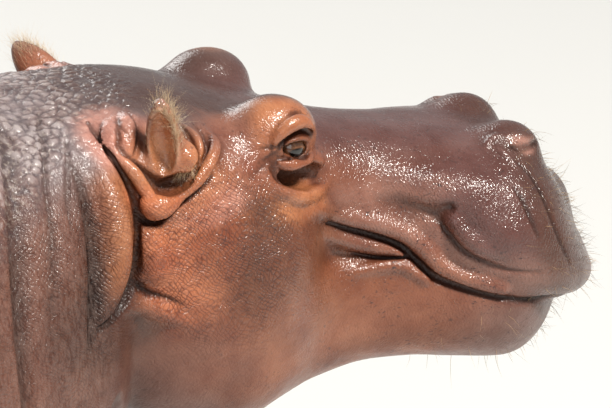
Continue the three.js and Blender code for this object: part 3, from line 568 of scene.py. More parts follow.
def tail(x, y, z):
    """Short tail of round limbs one after another, flatter from side to side toward its tip."""
    flat = np.interp(z, [66, 84], [0.62, 1.0])
    parts = [limb((a[0], 0, a[1]), (b[0], 0, b[1]), a[2], b[2]) for a, b in zip(TAIL[:-1], TAIL[1:])]
    return joined(1.0, parts, x, y / flat, z)


def hide(x, y, z):
    """The animal with its tail, ears, folds, lids and nostrils, flat under the feet."""
    d = animal(x, y, z)
    side = np.abs(y)
    d = added(d, x, y, z, (-156, -12, 46), (-110, 12, 120), tail, 3)
    for shape in folds:
        d = shape(d, x, side, z)
    for sign, cup in ears.items():
        here = near(x, sign * y, z, *EAR_BOX)
        d[here] = blend(d[here], cup(x[here], y[here], z[here]), 0.9)
    for pit, soft, box in ((eye_opening, 0.5, EYE_BOX), (eye_socket, 0.3, EYE_BOX),
                           (under_eye, 0.8, ((124, 9, 110), (140, 22, 124))), (ear_pit, 0.8, EAR_PIT_BOX)):
        here = near(x, side, z, *box)
        d[here] = trim(d[here], -pit(x[here], side[here], z[here]), soft)
    here = near(x, side, z, (164, 6, 112), (175, 15, 120))
    far, along = from_path(nostril_slit, x[here], side[here], z[here])
    d[here] = trim(d[here], 0.5 * np.sqrt(np.clip(4 * along * (1 - along), 0.1, 1)) - far, 0.35)
    return trim(d, -z, 1.2)


SPAN = 4096       # more than the cells along any side, so that one whole number can stand for a cell


def net(field, low, cells, coarse, regions):
    """A closed net of triangles on a field, finer inside some boxes: each region halves the lattice's cell as
    many times as its level says. Every lattice edge that the field crosses joins the cells round it, and the
    vertex of a cell is the mean of those crossings."""
    low = np.array(low, float)
    level_of = np.zeros(cells, np.int64)
    boxes = [(0, np.zeros(3, int), np.array(cells))]
    for level, start, end in regions:
        a = np.maximum(np.floor((np.array(start) - low) / coarse).astype(int), 0)
        b = np.minimum(np.ceil((np.array(end) - low) / coarse).astype(int), cells)
        view = level_of[a[0]:b[0], a[1]:b[1], a[2]:b[2]]
        np.maximum(view, level, out=view)
        boxes.append((level, a, b))
    keys, points, outward, marks = [], [], [], []
    for level, a, b in boxes:
        n = 2**level
        size = coarse / n
        steps = (low[m] + coarse * a[m] + size * np.arange((b[m] - a[m]) * n + 1) for m in range(3))
        grid = np.meshgrid(*steps, indexing="ij")
        f = field(*(g.ravel() for g in grid)).reshape(grid[0].shape)
        for axis in range(3):
            first = f[tuple(slice(0, -1) if m == axis else slice(None) for m in range(3))]
            second = f[tuple(slice(1, None) if m == axis else slice(None) for m in range(3))]
            ijk = np.nonzero((first < 0) != (second < 0))
            base = np.stack(ijk) + (a * n)[:, None]
            va, vb = first[ijk], second[ijk]
            place = low[:, None] + size * base
            place[axis] += size * va / (va - vb)
            around, cell_level = [], []
            for p, q in ((-1, -1), (0, -1), (0, 0), (-1, 0)):
                cell = base.copy()
                cell[(axis + 1) % 3] += p
                cell[(axis + 2) % 3] += q
                at = np.clip(cell // n, 0, np.array(cells)[:, None] - 1)
                here = level_of[at[0], at[1], at[2]]
                cell >>= np.maximum(level - here, 0)
                around.append(((here * SPAN + cell[0]) * SPAN + cell[1]) * SPAN + cell[2])
                cell_level.append(here)
            mine = np.max(cell_level, axis=0) == level
            keys.append(np.stack(around)[:, mine])
            points.append(place[:, mine])
            outward.append(va[mine] < 0)
            marks.append(((((axis * 8 + level) * SPAN + base[0]) * SPAN + base[1]) * SPAN + base[2])[mine])
    keys, points = np.concatenate(keys, 1), np.concatenate(points, 1)
    outward, marks = np.concatenate(outward), np.concatenate(marks)
    once = np.unique(marks, return_index=True)[1]
    keys, points, outward = keys[:, once], points[:, once], outward[once]
    _, corner = np.unique(keys, return_inverse=True)
    corner = corner.reshape(keys.shape)
    shared = np.bincount(corner.ravel())
    vertices = np.stack([np.bincount(corner.ravel(), np.tile(points[m], 4)) / shared for m in range(3)])
    corner = np.where(outward, corner, corner[::-1])
    a, b, c, d = corner
    along = ((vertices[:, a] - vertices[:, c]) ** 2).sum(0) < ((vertices[:, b] - vertices[:, d]) ** 2).sum(0)
    faces = np.concatenate([np.where(along, [a, b, c], [a, b, d]), np.where(along, [a, c, d], [b, c, d])], 1)
    real = (faces[0] != faces[1]) & (faces[1] != faces[2]) & (faces[0] != faces[2])
    return vertices, faces[:, real].T


def outermost(vertices, faces):
    """The net without the small pockets shut inside it. Each vertex takes the lowest number met next to it
    until no number changes, and the faces of the number held by most vertices are kept."""
    number = np.arange(vertices.shape[1])
    while True:
        lowest = number[faces].min(1)
        passed_on = number.copy()
        for m in range(3):
            np.minimum.at(passed_on, faces[:, m], lowest)
        passed_on = passed_on[passed_on[passed_on]]
        if (passed_on == number).all():
            break
        number = passed_on
    faces = faces[number[faces[:, 0]] == np.bincount(number).argmax()]
    used, again = np.unique(faces, return_inverse=True)
    return vertices[:, used], again.reshape(-1, 3)


# ---------------------------------------------------------------- skin mesh
# The surface of the same hide, meshed in cells of 2 cm on the trunk, 1 cm on the neck, legs and tail, 5 mm on
# the head and 2.5 mm on lids, lips and ears. The net is evened out, laid back on the field, and then given
# the lumps, warts and wrinkles of the hide.
CELL = 2.0
FINER = [          # how many times the cell is halved there, and the box's reach in x, y and z
    (1, (14, 92), (8, 58), (14, 140)), (1, (-130, -42), (6, 58), (14, 112)),             # flanks and haunches
    (1, (56, 100), (-58, 58), (20, 144)),                                                # neck
    (1, (28, 76), (12, 58), (-6, 20)), (1, (-112, -66), (12, 58), (-6, 20)),             # feet
    (1, (-158, -118), (-12, 12), (46, 120)), (2, (92, 186), (-34, 34), (74, 140)),       # tail, head
    (3, (126, 140), (8, 22), (110, 130)), (3, (98, 122), (12, 38), (114, 144)),          # eyes, ears
    (3, (90, 112), (-26, 26), (122, 134)), (3, (136, 168), (10, 24), (96, 118)),         # nape, lips
    (3, (94, 114), (18, 28), (102, 120)),                                                # folds below the ear
]
REGIONS = []       # the same as pairs of corners, with a twin on the other side unless it crosses the middle
for level, xs, ys, zs in FINER:
    for near_y, far_y in (ys,) if ys[0] < 0 else (ys, (-ys[1], -ys[0])):
        REGIONS.append((level, (xs[0], near_y, zs[0]), (xs[1], far_y, zs[1])))


def outward_of(p, faces):
    """Unit normals of the vertices: the sum of the cross products of the faces round each."""
    a, b, c = (p[:, faces[:, m]] for m in range(3))
    n = np.cross((b - a).T, (c - a).T).T
    total = np.stack([sum(np.bincount(faces[:, q], n[m], p.shape[1]) for q in range(3)) for m in range(3)])
    return total / np.maximum(np.sqrt((total * total).sum(0)), 1e-9)


def mean_near(values, faces):
    """Each row of values averaged, for every vertex, over its neighbours."""
    a, b = np.concatenate([faces[:, [0, 1]], faces[:, [1, 2]], faces[:, [2, 0]]]).T
    size = values.shape[1]
    total = np.stack([np.bincount(a, row[b], size) + np.bincount(b, row[a], size) for row in values])
    return total / np.bincount(np.append(a, b), minlength=size)


def evened(p, faces, share):
    """Each vertex moved along the surface toward the mean of its neighbours, by a share of the way."""
    n = outward_of(p, faces)
    move = mean_near(p, faces) - p
    return p + share * (move - n * (move * n).sum(0))


def chance(i, j, k, seed):
    """A number from 0 to 1 fixed for each cell of a lattice: its three counts mixed bit by bit."""
    h = (i * 73856093) ^ (j * 19349663) ^ (k * 83492791) ^ (seed * 40503)
    h = (h ^ (h >> 13)) * 1274126177
    return ((h ^ (h >> 16)) & 0xFFFF) / 65535.0


def lumps(p, size, seed):
    """Smooth noise from -1 to 1: the cell corners' chances mixed by smooth steps along each axis."""
    q = p / size
    cell = np.floor(q).astype(np.int64)
    t = q - cell
    t = t * t * (3 - 2 * t)
    total = np.zeros(p.shape[1])
    for corner in range(8):
        o = (corner & 1, corner >> 1 & 1, corner >> 2 & 1)
        weight = np.prod([np.where(o[m], t[m], 1 - t[m]) for m in range(3)], axis=0)
        total += weight * chance(cell[0] + o[0], cell[1] + o[1], cell[2] + o[2], seed)
    return 2 * total - 1


def pebbles(p, size, seed):
    """Distances to the nearest and next of points scattered one to a cell, as shares of the cell."""
    q = p / size
    cell = np.floor(q).astype(np.int64)
    first, second = np.full(p.shape[1], 9.0), np.full(p.shape[1], 9.0)
    for o in np.ndindex(3, 3, 3):
        c = [cell[m] + o[m] - 1 for m in range(3)]
        far = sum((c[m] + chance(c[0], c[1], c[2], seed + 1 + m) - q[m]) ** 2 for m in range(3))
        second = np.minimum(second, np.maximum(first, far))
        first = np.minimum(first, far)
    return np.sqrt(first), np.sqrt(second)


def zone(p, place, half, edge=0.35):
    """1 inside an ellipsoid of each side of the head, 0 outside, with a soft edge; from the eye line."""
    k = np.sqrt(((p[0] - HEAD[0] - place[0]) / half[0]) ** 2 + ((np.abs(p[1]) - place[1]) / half[1]) ** 2
                + ((p[2] - HEAD[1] - place[2]) / half[2]) ** 2)
    t = held((1 + edge - k) / (2 * edge))
    return t * t * (3 - 2 * t)


place, faces = outermost(*net(hide, (-158, -58, -6), (172, 58, 76), CELL, REGIONS))
for _ in range(3):
    place = evened(place, faces, 0.5)
place = laid(hide, place, 2, 0.3)


def nape(p):
    """1 on the top of the neck behind the ears, where the warts are, and 0 elsewhere."""
    x, z = p[0] - HEAD[0], p[2] - HEAD[1]
    lowest = np.interp(x, [-48, -33, -28], [-6, 3, 5.6])
    return held((z - lowest) / 5) * held((-18 - x) / 7) * held((p[0] - 25) / 40)


def warts(p):
    """Height of big and of little warts, 0 between them and 1 at their tops, with 0 off the nape."""
    big, little = np.zeros(p.shape[1]), np.zeros(p.shape[1])
    here = nape(p) > 0
    q = p[:, here]
    near_wart, next_wart = pebbles(q * np.array([[0.9], [1.1], [1.0]]), 1.45, 11)
    rim = 1 - held(1.9 * (next_wart - near_wart))
    big[here] = (1 - rim**2) * held(1.9 - 1.4 * near_wart) * (0.75 + 0.25 * lumps(q, 4, 3))
    little[here] = held(1.15 - 1.8 * pebbles(q, 0.78, 5)[0])
    return big * nape(p), little * nape(p)


outward = outward_of(place, faces)
big, little = warts(place)
flesh = 0.22 * lumps(place, 11, 1) + 0.1 * lumps(place, 4.5, 2)
calm = 1 - 0.9 * zone(place, (-0.5, 15.5, 0), (7, 5, 8)) - 0.6 * zone(place, (-20, 20, 2), (11, 12, 11))
# Fine upright wrinkles on the neck, and wider slack rings on the trunk and legs.
wrinkled = held((-30 - (place[0] - HEAD[0])) / 6) * held((place[0] - 20) / 60)
wrinkles = np.abs(lumps(place * np.array([[1.0], [0.35], [0.3]]) + 0.35 * lumps(place, 6, 8), 1.1, 9))
near_head = held(1 - np.abs(place[0] - 105) / 26)
rings = np.abs(lumps(place * np.array([[1.0], [0.22], [0.22]]) + 0.8 * lumps(place, 14, 12), 3.4, 13))
flesh -= 0.42 * (1 - rings) ** 4 * held((92 - place[0]) / 20) * np.clip(place[2] / 40, 0.3, 1)
place = place + outward * (near_head * (0.46 * big + 0.08 * little) + flesh * held(calm)
                           - 0.04 * wrinkled * (1 - wrinkles) ** 3)
place[2] = np.maximum(place[2], 0)


def placed(name, data):
    """A new object put in the scene."""
    piece = bpy.data.objects.new(name, data)
    bpy.context.scene.collection.objects.link(piece)
    return piece


def mesh_of(name, vertices, *blocks):
    """A mesh object from rows of vertices in metres and blocks of faces, smooth all over."""
    made = bpy.data.meshes.new(name)
    made.from_pydata(vertices.tolist(), [], [face for block in blocks for face in block.tolist()])
    made.polygons.foreach_set("use_smooth", np.ones(len(made.polygons), bool))
    made.update()
    return placed(name, made)


def rows(mesh, what, key, kind, width):
    """One value of every vertex or face of a mesh, as rows."""
    values = np.zeros(len(getattr(mesh, what)) * width, kind)
    getattr(mesh, what).foreach_get(key, values)
    return values.reshape(-1, width)


HIDE_TRIANGLES = 194000
rough = mesh_of("hide at full detail", (place / 100 + np.array([[AHEAD], [0], [0]])).T, faces)
thin = rough.modifiers.new("thin", "DECIMATE")
thin.ratio = HIDE_TRIANGLES / len(faces)
done = bpy.data.meshes.new_from_object(rough.evaluated_get(bpy.context.evaluated_depsgraph_get()))
bpy.data.objects.remove(rough)
done.name = "hide"
done.polygons.foreach_set("use_smooth", np.ones(len(done.polygons), bool))
skin = placed("hide", done)
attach(skin, "root")
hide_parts(*[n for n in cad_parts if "nail" not in n and "eye" not in n])


# Colours of the hide: grey-brown on the back, rosy below, purple-brown on the muzzle and crown,
# orange round the eyes, ears and cheeks, dark brown painted shade in the folds. Each is a soft-edged zone of
# one side.
def colour(red, green, blue):
    """A colour written as it looks on a screen, from 0 to 255, made linear."""
    c = np.array([red, green, blue]) / 255
    return np.where(c <= 0.04045, c / 12.92, ((c + 0.055) / 1.055) ** 2.4)


HIDE = {
    "slate": colour(122, 102, 100), "ash": colour(150, 142, 144), "dusk": colour(78, 55, 48),
    "plum": colour(98, 64, 59), "umber": colour(76, 46, 32), "chestnut": colour(112, 68, 46),
    "russet": colour(148, 92, 64), "clay": colour(160, 104, 80), "tan": colour(182, 118, 78),
    "amber": colour(194, 120, 82), "rose": colour(206, 152, 136), "dun": colour(108, 68, 52),
    "dusty": colour(150, 106, 90),
}
ZONES = [
    ("russet", (-2, 16, -14), (32, 14, 16), 0.9),        # side of the head
    ("slate", (-58, 0, 18), (60, 26, 26), 0.9),          # back of the neck
    ("ash", (-46, 8, 8), (28, 24, 13), 0.75),            # grey nape
    ("dun", (-48, 32, -16), (34, 24, 22), 0.85),         # side of the neck
    ("dusk", (-12, 0, 8), (21, 15, 9), 0.95),            # crown
    ("plum", (20, 0, 0), (30, 14.5, 9), 0.95),           # top of the muzzle
    ("plum", (26, 16, -14), (24, 12, 10), 0.95),         # side of the muzzle
    ("umber", (40, 8, -16), (9, 20, 14), 0.85),          # front of the muzzle
    ("dusty", (12, 13, -12), (12, 6, 4.5), 0.85),        # lip under the eye
    ("dusty", (24, 18, -23), (13, 6, 4), 0.7),           # lip
    ("dusty", (19.6, 15, -17.6), (7, 5, 4.2), 0.8),      # roll of the lip
    ("russet", (4, 14, -28), (26, 12, 11), 0.8),         # lower jaw
    ("chestnut", (-2, 18, -12), (13, 7, 8), 0.8),        # dark of the cheek
    ("chestnut", (0, 18, -20), (18, 7, 9), 0.5),         # its mottled lower part
    # Painted shade under the ledge below each eye.
    ("umber", (-7.4, 19, -7.2), (5.5, 6, 2.6), 0.6),     # under the ledge
    # Darker skin and painted shade at the foot of the neck's rolls.
    ("umber", (-34, 24, -16), (11, 9, 9), 0.7),          # foot of the neck's rolls
    ("amber", (-19, 21, -10), (8, 8, 10), 0.85),         # back of the cheek
    ("chestnut", (-11, 20.5, -12), (7, 6, 9), 0.5),      # middle of the cheek
    ("rose", (-17, 20, -4.5), (6, 5, 3), 0.6),           # top of the cheek
    ("tan", (-29.8, 22, -5), (4.2, 8, 9), 0.6),          # roll of the neck
    ("clay", (-11, 17, 2), (6, 6, 6), 0.6),              # temple
    ("tan", (-0.6, 15, 3.6), (5.4, 5, 6.2), 0.85),       # brow
    ("russet", (-1, 16, -2), (5.6, 5, 5), 0.7),          # round the eye
    ("tan", (-0.5, 16, -7.2), (7.5, 4, 2.4), 0.9),       # ledge under the eye
    ("rose", (-27, 14, 5), (5.5, 6, 4.5), 0.9),          # lobes behind the ear
    ("tan", (-21, 19, 2), (8, 6, 9), 0.85),              # ear
    ("amber", (-23.2, 20, -2.6), (4.0, 3, 2.6), 0.95),   # bulb below the ear
    ("rose", (37.2, 10.0, -5.7), (2.6, 1.8, 1.2), 0.5),  # nostril's flap
]
# Dark colours of the painted shade in the folds, lines and slits.
SHADE = {"pitch": colour(34, 17, 10), "soot": colour(58, 34, 24), "bark": colour(86, 52, 36),
         "rust": colour(108, 64, 44)}
# Painted shade along the folds: each fold's shade colour, reach and strength; the body's folds weaker.
FOLD_SHADES = [
    ("line of the lips", "rust", 1.5, 0.4), ("line of the lips", "pitch", 0.5, 1.0),
    ("deep fold behind the cheek", "pitch", 0.9, 1.0), ("second fold", "bark", 2.6, 0.7),
    ("second fold", "pitch", 1.7, 1.0), ("fold under the cheek", "pitch", 0.6, 0.9),
    ("crease under the bulb", "pitch", 0.7, 0.95), ("hollow inside the ring", "pitch", 1.0, 0.9),
    ("crease below the corner", "soot", 0.4, 0.9), ("crease behind the lip's bulge", "soot", 0.5, 0.8),
    ("hollow under the ridge", "bark", 1.6, 0.5), ("first crease of the front", "soot", 0.4, 0.7),
    ("second crease of the front", "soot", 0.4, 0.7), ("crease of the lip's corner", "rust", 0.4, 0.8),
    ("crease behind the eye", "rust", 0.4, 0.6), ("first crease of the pillow", "rust", 0.35, 0.8),
    ("second crease of the pillow", "rust", 0.35, 0.9), ("third crease of the pillow", "rust", 0.3, 0.9),
    ("fourth crease of the pillow", "rust", 0.25, 0.8), ("crease above the bulb", "bark", 0.3, 0.8),
    ("line below the lower lid", "bark", 0.3, 0.8), ("upper wrinkle of the corner", "bark", 0.25, 0.7),
    ("middle wrinkle of the corner", "bark", 0.3, 0.8), ("lower wrinkle of the corner", "bark", 0.3, 0.8),
    ("outer crease before the ear", "rust", 0.35, 0.8), ("inner crease before the ear", "bark", 0.35, 0.8),
    ("first wrinkle of the neck", "bark", 0.5, 0.5), ("second wrinkle of the neck", "bark", 0.5, 0.5),
    ("fold of the brow", "rust", 0.7, 0.7), ("shadow of the hood", "pitch", 0.5, 0.95),
    ("upper lid", "pitch", 0.45, 0.95), ("lower lid", "soot", 0.4, 0.9),
    ("crease beside the eye", "bark", 0.5, 0.8),
] + [(row[0], "rust", 1.8, 0.22) for row in BODY_FOLDS]


def on_ear(p, side):
    """For points near one ear: whether they are on it, how far up it, how near its outer and inner leaf, and
    how far toward its front edge, as shares of its own size."""
    axes = turned(side)
    base = on_head(EAR["base"]) * (1, side, 1)
    u, v, w = axes.T @ (p - base[:, None])
    wide = EAR_POSE[side]["wide"]
    up_outer, up_inner = w / EAR["length"], (w - 2.2) / (EAR["length"] - 3.2)
    outer = np.abs(np.hypot(u / EAR["thick"], v / wide) - leaf_radius(up_outer))
    inner = np.abs(np.hypot(u / EAR["thick"] + 0.62, v / (wide - EAR["wall"])) - leaf_radius(up_inner))
    inside = near(p[0], side * p[1], p[2], *EAR_BOX) & (w > 2.5) & (np.minimum(outer, inner) < 0.35)
    return inside, up_outer, outer, inner, side * v / wide


def toned(tint, shade, share):
    """Moves every colour toward a shade by its own share of the way."""
    tint += (shade[:, None] - tint) * share


def painted(p, n):
    """The hide's colour at each point: one colour from back to belly, then each zone, then painted shade in
    the folds.
    """
    q = p + np.stack([lumps(p, 5.5, 21 + m) for m in range(3)]) * 1.6
    low = held((118 - q[2]) / 80)
    tint = colour(106, 88, 84)[:, None] * (1 - low) + colour(144, 106, 94)[:, None] * low
    toned(tint, colour(178, 128, 112), 0.7 * held(-n[2]) * held((70 - p[2]) / 40))
    toned(tint, colour(112, 86, 78), 0.6 * held((9 - p[2]) / 8))
    for shade, middle, half, share in ZONES:
        toned(tint, HIDE[shade], share * zone(q, middle, half))
    side = np.abs(p[1])
    dark = np.zeros(p.shape[1])
    # Painted shade along each fold, strongest on its middle line and where the fold is thickest.
    for name, shade, reach, share in FOLD_SHADES:
        path, full = fold_paths[name]
        here = near(p[0], side, p[2], path.min(0) - 3 * reach, path.max(0) + 3 * reach)
        far, along = from_path(path, p[0, here], side[here], p[2, here])
        full = np.interp(along, np.linspace(0, 1, len(full)), full)
        painted_shade = share * full**0.5 * np.exp(-(far / (reach * (0.25 + 0.75 * full))) ** 2)
        tint[:, here] += (SHADE[shade][:, None] - tint[:, here]) * painted_shade
        dark[here] = np.maximum(dark[here], painted_shade)
    # Painted shade in the hollow under the bag of each eye.
    hollow = held(0.5 - under_eye(p[0], side, p[2]) / 0.5)
    hollow *= near(p[0], side, p[2], (124, 9, 110), (140, 22, 121))
    toned(tint, colour(72, 42, 20), hollow)
    # Painted shade in the pit below each ear.
    pit = held(0.6 - ear_pit(p[0], side, p[2]) / 0.6) * near(p[0], side, p[2], *EAR_PIT_BOX)
    toned(tint, colour(40, 18, 8), 0.9 * pit)
    dark = np.maximum(dark, np.maximum(hollow, pit))
    # Painted shade along the slit of each nostril.
    toned(tint, SHADE["soot"], 0.9 * np.exp(-(from_path(nostril_slit, p[0], side, p[2])[0] / 0.55) ** 2))
    for side in (1, -1):
        inside, up_it, outer, inner, toward_front = on_ear(p, side)
        back = inside * np.exp(-(outer / 0.25) ** 2) * held((up_it - 0.3) / 0.3)
        toned(tint, HIDE["clay"], 0.5 * back)
        # The cup painted lighter than its own orange, painted light in its shade, and darker low down,
        # painted shade deep in it.
        cup = inside * np.exp(-(inner / 0.2) ** 2) * held(outer / 0.3)
        toned(tint, colour(228, 160, 112), 0.9 * cup)
        toned(tint, colour(150, 98, 62), 0.6 * cup * held((0.42 - up_it) / 0.25))
        rim = inside * np.exp(-((outer + inner) / 0.22) ** 2) * held((up_it - 0.25) / 0.2)
        toned(tint, colour(242, 206, 172), rim * np.clip(0.7 + 0.6 * toward_front, 0.1, 1))
    return tint, dark


def sheltered(p, n):
    """How deep in a fold each point is, from 0 to 1: at three distances straight out from it, how much nearer
    the hide is than it would be over a flat."""
    total = np.zeros(p.shape[1])
    for reach, share in ((0.5, 0.3), (1.1, 0.35), (2.2, 0.35)):
        total += share * held((0.8 - hide(*(p + n * reach)) / reach) / 0.8)
    return total


place = rows(done, "vertices", "co", np.float32, 3).astype(float).T
place = (place - np.array([[AHEAD], [0], [0]])) * 100
faces = rows(done, "polygons", "vertices", np.int32, 3)
outward = outward_of(place, faces)
tint_and_painted_shading, fold_shade = painted(place, outward)
# Painted shade: the hide darkened and reddened where it lies deep in a fold, less so round the ears and on
# the trunk.
depth = sheltered(place, outward) * (1 - 0.75 * zone(place, (-19, 20, 5), (5, 8, 8)))
depth *= np.clip((place[0] - 60) / 40, 0.15, 1)
tint_and_painted_shading *= 1 - np.array([[0.72], [0.8], [0.84]]) * held(1.5 * depth)
fold_shade = np.maximum(fold_shade, held(1.4 * depth))
from_eyes = place - on_head((0, 0, 0))[:, None]
hollowness = ((mean_near(place, faces) - place) * outward).sum(0)[None]
for _ in range(2):
    hollowness = (hollowness + mean_near(hollowness, faces)) / 2
# Painted shade in the hollows of the hide, less round the ears, and painted light on its ridges.
tint_and_painted_shading *= 1 - 0.6 * held(hollowness * 9) * (1 - 0.8 * zone(place, (-19, 20, 5), (6, 8, 9)))
tint_and_painted_shading *= 1 + 0.25 * held(-hollowness * 7)
big, little = warts(place)
on_neck = held((-30 - from_eyes[0]) / 4) * held((6 - from_eyes[2]) / 8)
on_cheek = 1.1 * zone(place, (-14, 20, -12), (12, 10, 12)) + 0.5 * zone(place, (-30, 24, -10), (8, 10, 14))
on_cheek = held(on_cheek)
on_muzzle = zone(place, (26, 8, -14), (26, 24, 20))


def attribute(mesh, name, values):
    """A value for every vertex that the material can read: one number, or a colour of three."""
    if values.ndim == 2:
        data = np.ones((values.shape[1], 4))
        data[:, :3] = held(values.T)
        mesh.attributes.new(name, "FLOAT_COLOR", "POINT").data.foreach_set("color", data.ravel())
    else:
        mesh.attributes.new(name, "FLOAT", "POINT").data.foreach_set("value", values)


attribute(done, "hide colour and painted shading", tint_and_painted_shading)
attribute(done, "nape", nape(place))
attribute(done, "warts", held(big + 0.3 * little))
attribute(done, "creases of the neck", on_neck)
attribute(done, "net of the cheek", held(on_cheek + 0.6 * on_neck))
wet = 0.2 + 0.25 * held((place[0] - 30) / 50) + 0.55 * held((place[0] - 99) / 9)
wet *= np.clip((from_eyes[2] + 36) / 14, 0.3, 1) * (1 - 0.4 * on_neck) * (1 - 0.3 * on_cheek)
attribute(done, "wetness", wet * (1 - 0.9 * fold_shade))
attribute(done, "grain of the muzzle", on_muzzle)


def add(kind, given=None, **settings):
    """A node of the material in hand; each given input is set to a value or joined to an output."""
    made = tree.nodes.new(kind)
    for key, value in settings.items():
        setattr(made, key, value)
    for key, value in (given or {}).items():
        if isinstance(value, bpy.types.NodeSocket):
            tree.links.new(value, made.inputs[key])
        else:
            made.inputs[key].default_value = value
    return made


def times(a, b):
    """Two numbers or outputs multiplied."""
    return add("ShaderNodeMath", {0: a, 1: b}, operation="MULTIPLY").outputs[0]


def plus(a, b):
    """Two numbers or outputs added."""
    return add("ShaderNodeMath", {0: a, 1: b}, operation="ADD").outputs[0]


def spread(value, low, high, to_low=0.0, to_high=1.0):
    """A value stretched from one range to another and held inside it."""
    return add("ShaderNodeMapRange", {0: value, 1: low, 2: high, 3: to_low, 4: to_high}).outputs[0]


def mixed(share, a, b, blend_type="MIX"):
    """Two colours mixed by a share."""
    a, b = (c if isinstance(c, bpy.types.NodeSocket) else (*c, 1) for c in (a, b))
    return add("ShaderNodeMix", {0: share, 6: a, 7: b}, data_type="RGBA", blend_type=blend_type,
               clamp_factor=True).outputs[2]


def dyed(face, red, green, blue):
    """A colour multiplied by another."""
    return mixed(1.0, face, colour(red, green, blue), "MULTIPLY")


def from_mesh(name, output="Fac"):
    """What the mesh says for each vertex: a number, or a colour where that is asked for."""
    return add("ShaderNodeAttribute", attribute_name=name).outputs[output]


def paint(name, **constants):
    """A new material with its tree, its shader, and the object's own coordinates."""
    made = bpy.data.materials.new(name)
    made.use_nodes = True
    nodes = made.node_tree.nodes
    for key, value in constants.items():
        nodes["Principled BSDF"].inputs[key.replace("_", " ")].default_value = value
    return made, made.node_tree, nodes["Principled BSDF"], nodes.new("ShaderNodeTexCoord").outputs["Object"]


# The hide's finish: wet, crossed by a net of fine cracks, grained on the muzzle, with dark freckles and
# warts whose tops are paler, partly in their own tone and partly as painted highlight, with painted shade
# between them.
hide_paint, tree, shader, spot = paint("wet hide", Coat_Roughness=0.12, IOR=1.45, Specular_IOR_Level=0.3)
tint = from_mesh("hide colour and painted shading", "Color")
on_top, warty, netted = from_mesh("nape"), from_mesh("warts"), from_mesh("net of the cheek")
grained, creased = from_mesh("grain of the muzzle"), from_mesh("creases of the neck")
wetness = from_mesh("wetness")


def noise(vector, scale, detail=3.0, rough=0.55):
    """Cloudy noise around 0.5."""
    return add("ShaderNodeTexNoise", {"Vector": vector, "Scale": scale, "Detail": detail,
                                      "Roughness": rough}).outputs["Fac"]


def cells(vector, scale, feature="DISTANCE_TO_EDGE", randomness=1.0):
    """Cells scattered through space: how far from their walls, or from their middles."""
    return add("ShaderNodeTexVoronoi", {"Vector": vector, "Scale": scale, "Randomness": randomness},
               feature=feature).outputs["Distance"]


def pushed(vector, scale, detail, far):
    """Coordinates pushed about by a coloured noise, up to some way."""
    push = add("ShaderNodeTexNoise", {"Vector": spot, "Scale": scale, "Detail": detail}).outputs["Color"]
    push = add("ShaderNodeVectorMath", {0: push, 1: (far, far, far)}, operation="MULTIPLY").outputs[0]
    return add("ShaderNodeVectorMath", {0: vector, 1: push}, operation="ADD").outputs[0]


def bumped(height, far, strength, normal=None):
    """The way the surface faces once a height is pressed into it, or into another normal if one is given."""
    given = {"Height": height, "Distance": far, "Strength": strength}
    return add("ShaderNodeBump", given | ({"Normal": normal} if normal else {})).outputs[0]


def drawn_out(vector, rotation, scale):
    """Coordinates turned and scaled, so that a pattern on them is drawn out."""
    return add("ShaderNodeMapping", {"Vector": vector, "Rotation": rotation, "Scale": scale}).outputs[0]


bent = pushed(spot, 45.0, 2.0, 0.006)
swept = pushed(bent, 16.0, 1.0, 0.03)
drawn = drawn_out(bent, (0.3, 0.5, 0.0), (1.0, 1.0, 1.9))
stretched = drawn_out(bent, (0.0, 0.25, 0.0), (1.0, 0.6, 0.22))


def wrinkles_across(vector, slant, gap, wander, width):
    """Wavy lines a gap apart, square to a slant in the side view: 0 along a line and 1 between lines."""
    across = drawn_out(vector, (0.0, math.radians(slant), 0.0), (1.0, 1.0, 1.0))
    wave = add("ShaderNodeTexWave", {
        "Vector": across, "Scale": 2 * math.pi / (20 * gap), "Distortion": wander, "Detail": 3.0,
        "Detail Scale": 0.7, "Detail Roughness": 0.6}, wave_profile="TRI").outputs["Fac"]
    return spread(wave, 0.0, width)


net_one = wrinkles_across(swept, 50, 0.0049, 9.0, 0.55)
net_two = wrinkles_across(swept, 142, 0.0066, 11.0, 0.42)
stroke_one = wrinkles_across(bent, 20, 0.0044, 12.0, 1.0)
stroke_two = wrinkles_across(bent, 155, 0.0050, 12.0, 1.0)
fine_net = spread(cells(bent, 430.0), 0.0, 0.22)
broad = spread(cells(drawn, 52.0), 0.0, 0.09)
long_creases = spread(noise(stretched, 230.0, 2.0, 0.5), 0.38, 0.56)
grain = noise(spot, 640.0, 2.0, 0.6)
bead = noise(drawn, 230.0, 2.0, 0.5)
soft = noise(spot, 85.0, 4.0, 0.6)
pebble = spread(cells(bent, 120.0, "F1"), 0.1, 0.62, 1.0, 0.0)

patchy = spread(noise(spot, 24.0, 3.0), 0.36, 0.62, 0.2, 1.0)
cracks = times(net_one, net_two)
height = times(cracks, spread(netted, 0, 1, 0.1, 0.55))
for layer, share in ((fine_net, 0.03), (broad, 0.16), (soft, 0.8), (times(long_creases, creased), 0.14),
                     (times(pebble, on_top), 0.35), (warty, 0.9)):
    height = plus(height, times(layer, share))
relief = bumped(height, 0.0015, 0.9)
strokes = plus(stroke_one, stroke_two)
grit = plus(times(grain, 0.06), times(bead, spread(grained, 0, 1, 0.34, 0.75)))
grit = plus(grit, times(strokes, spread(grained, 0, 1, 0.12, 0.3)))
relief = bumped(grit, 0.001, 0.9, relief)
tree.links.new(relief, shader.inputs["Normal"])
tree.links.new(relief, shader.inputs["Coat Normal"])

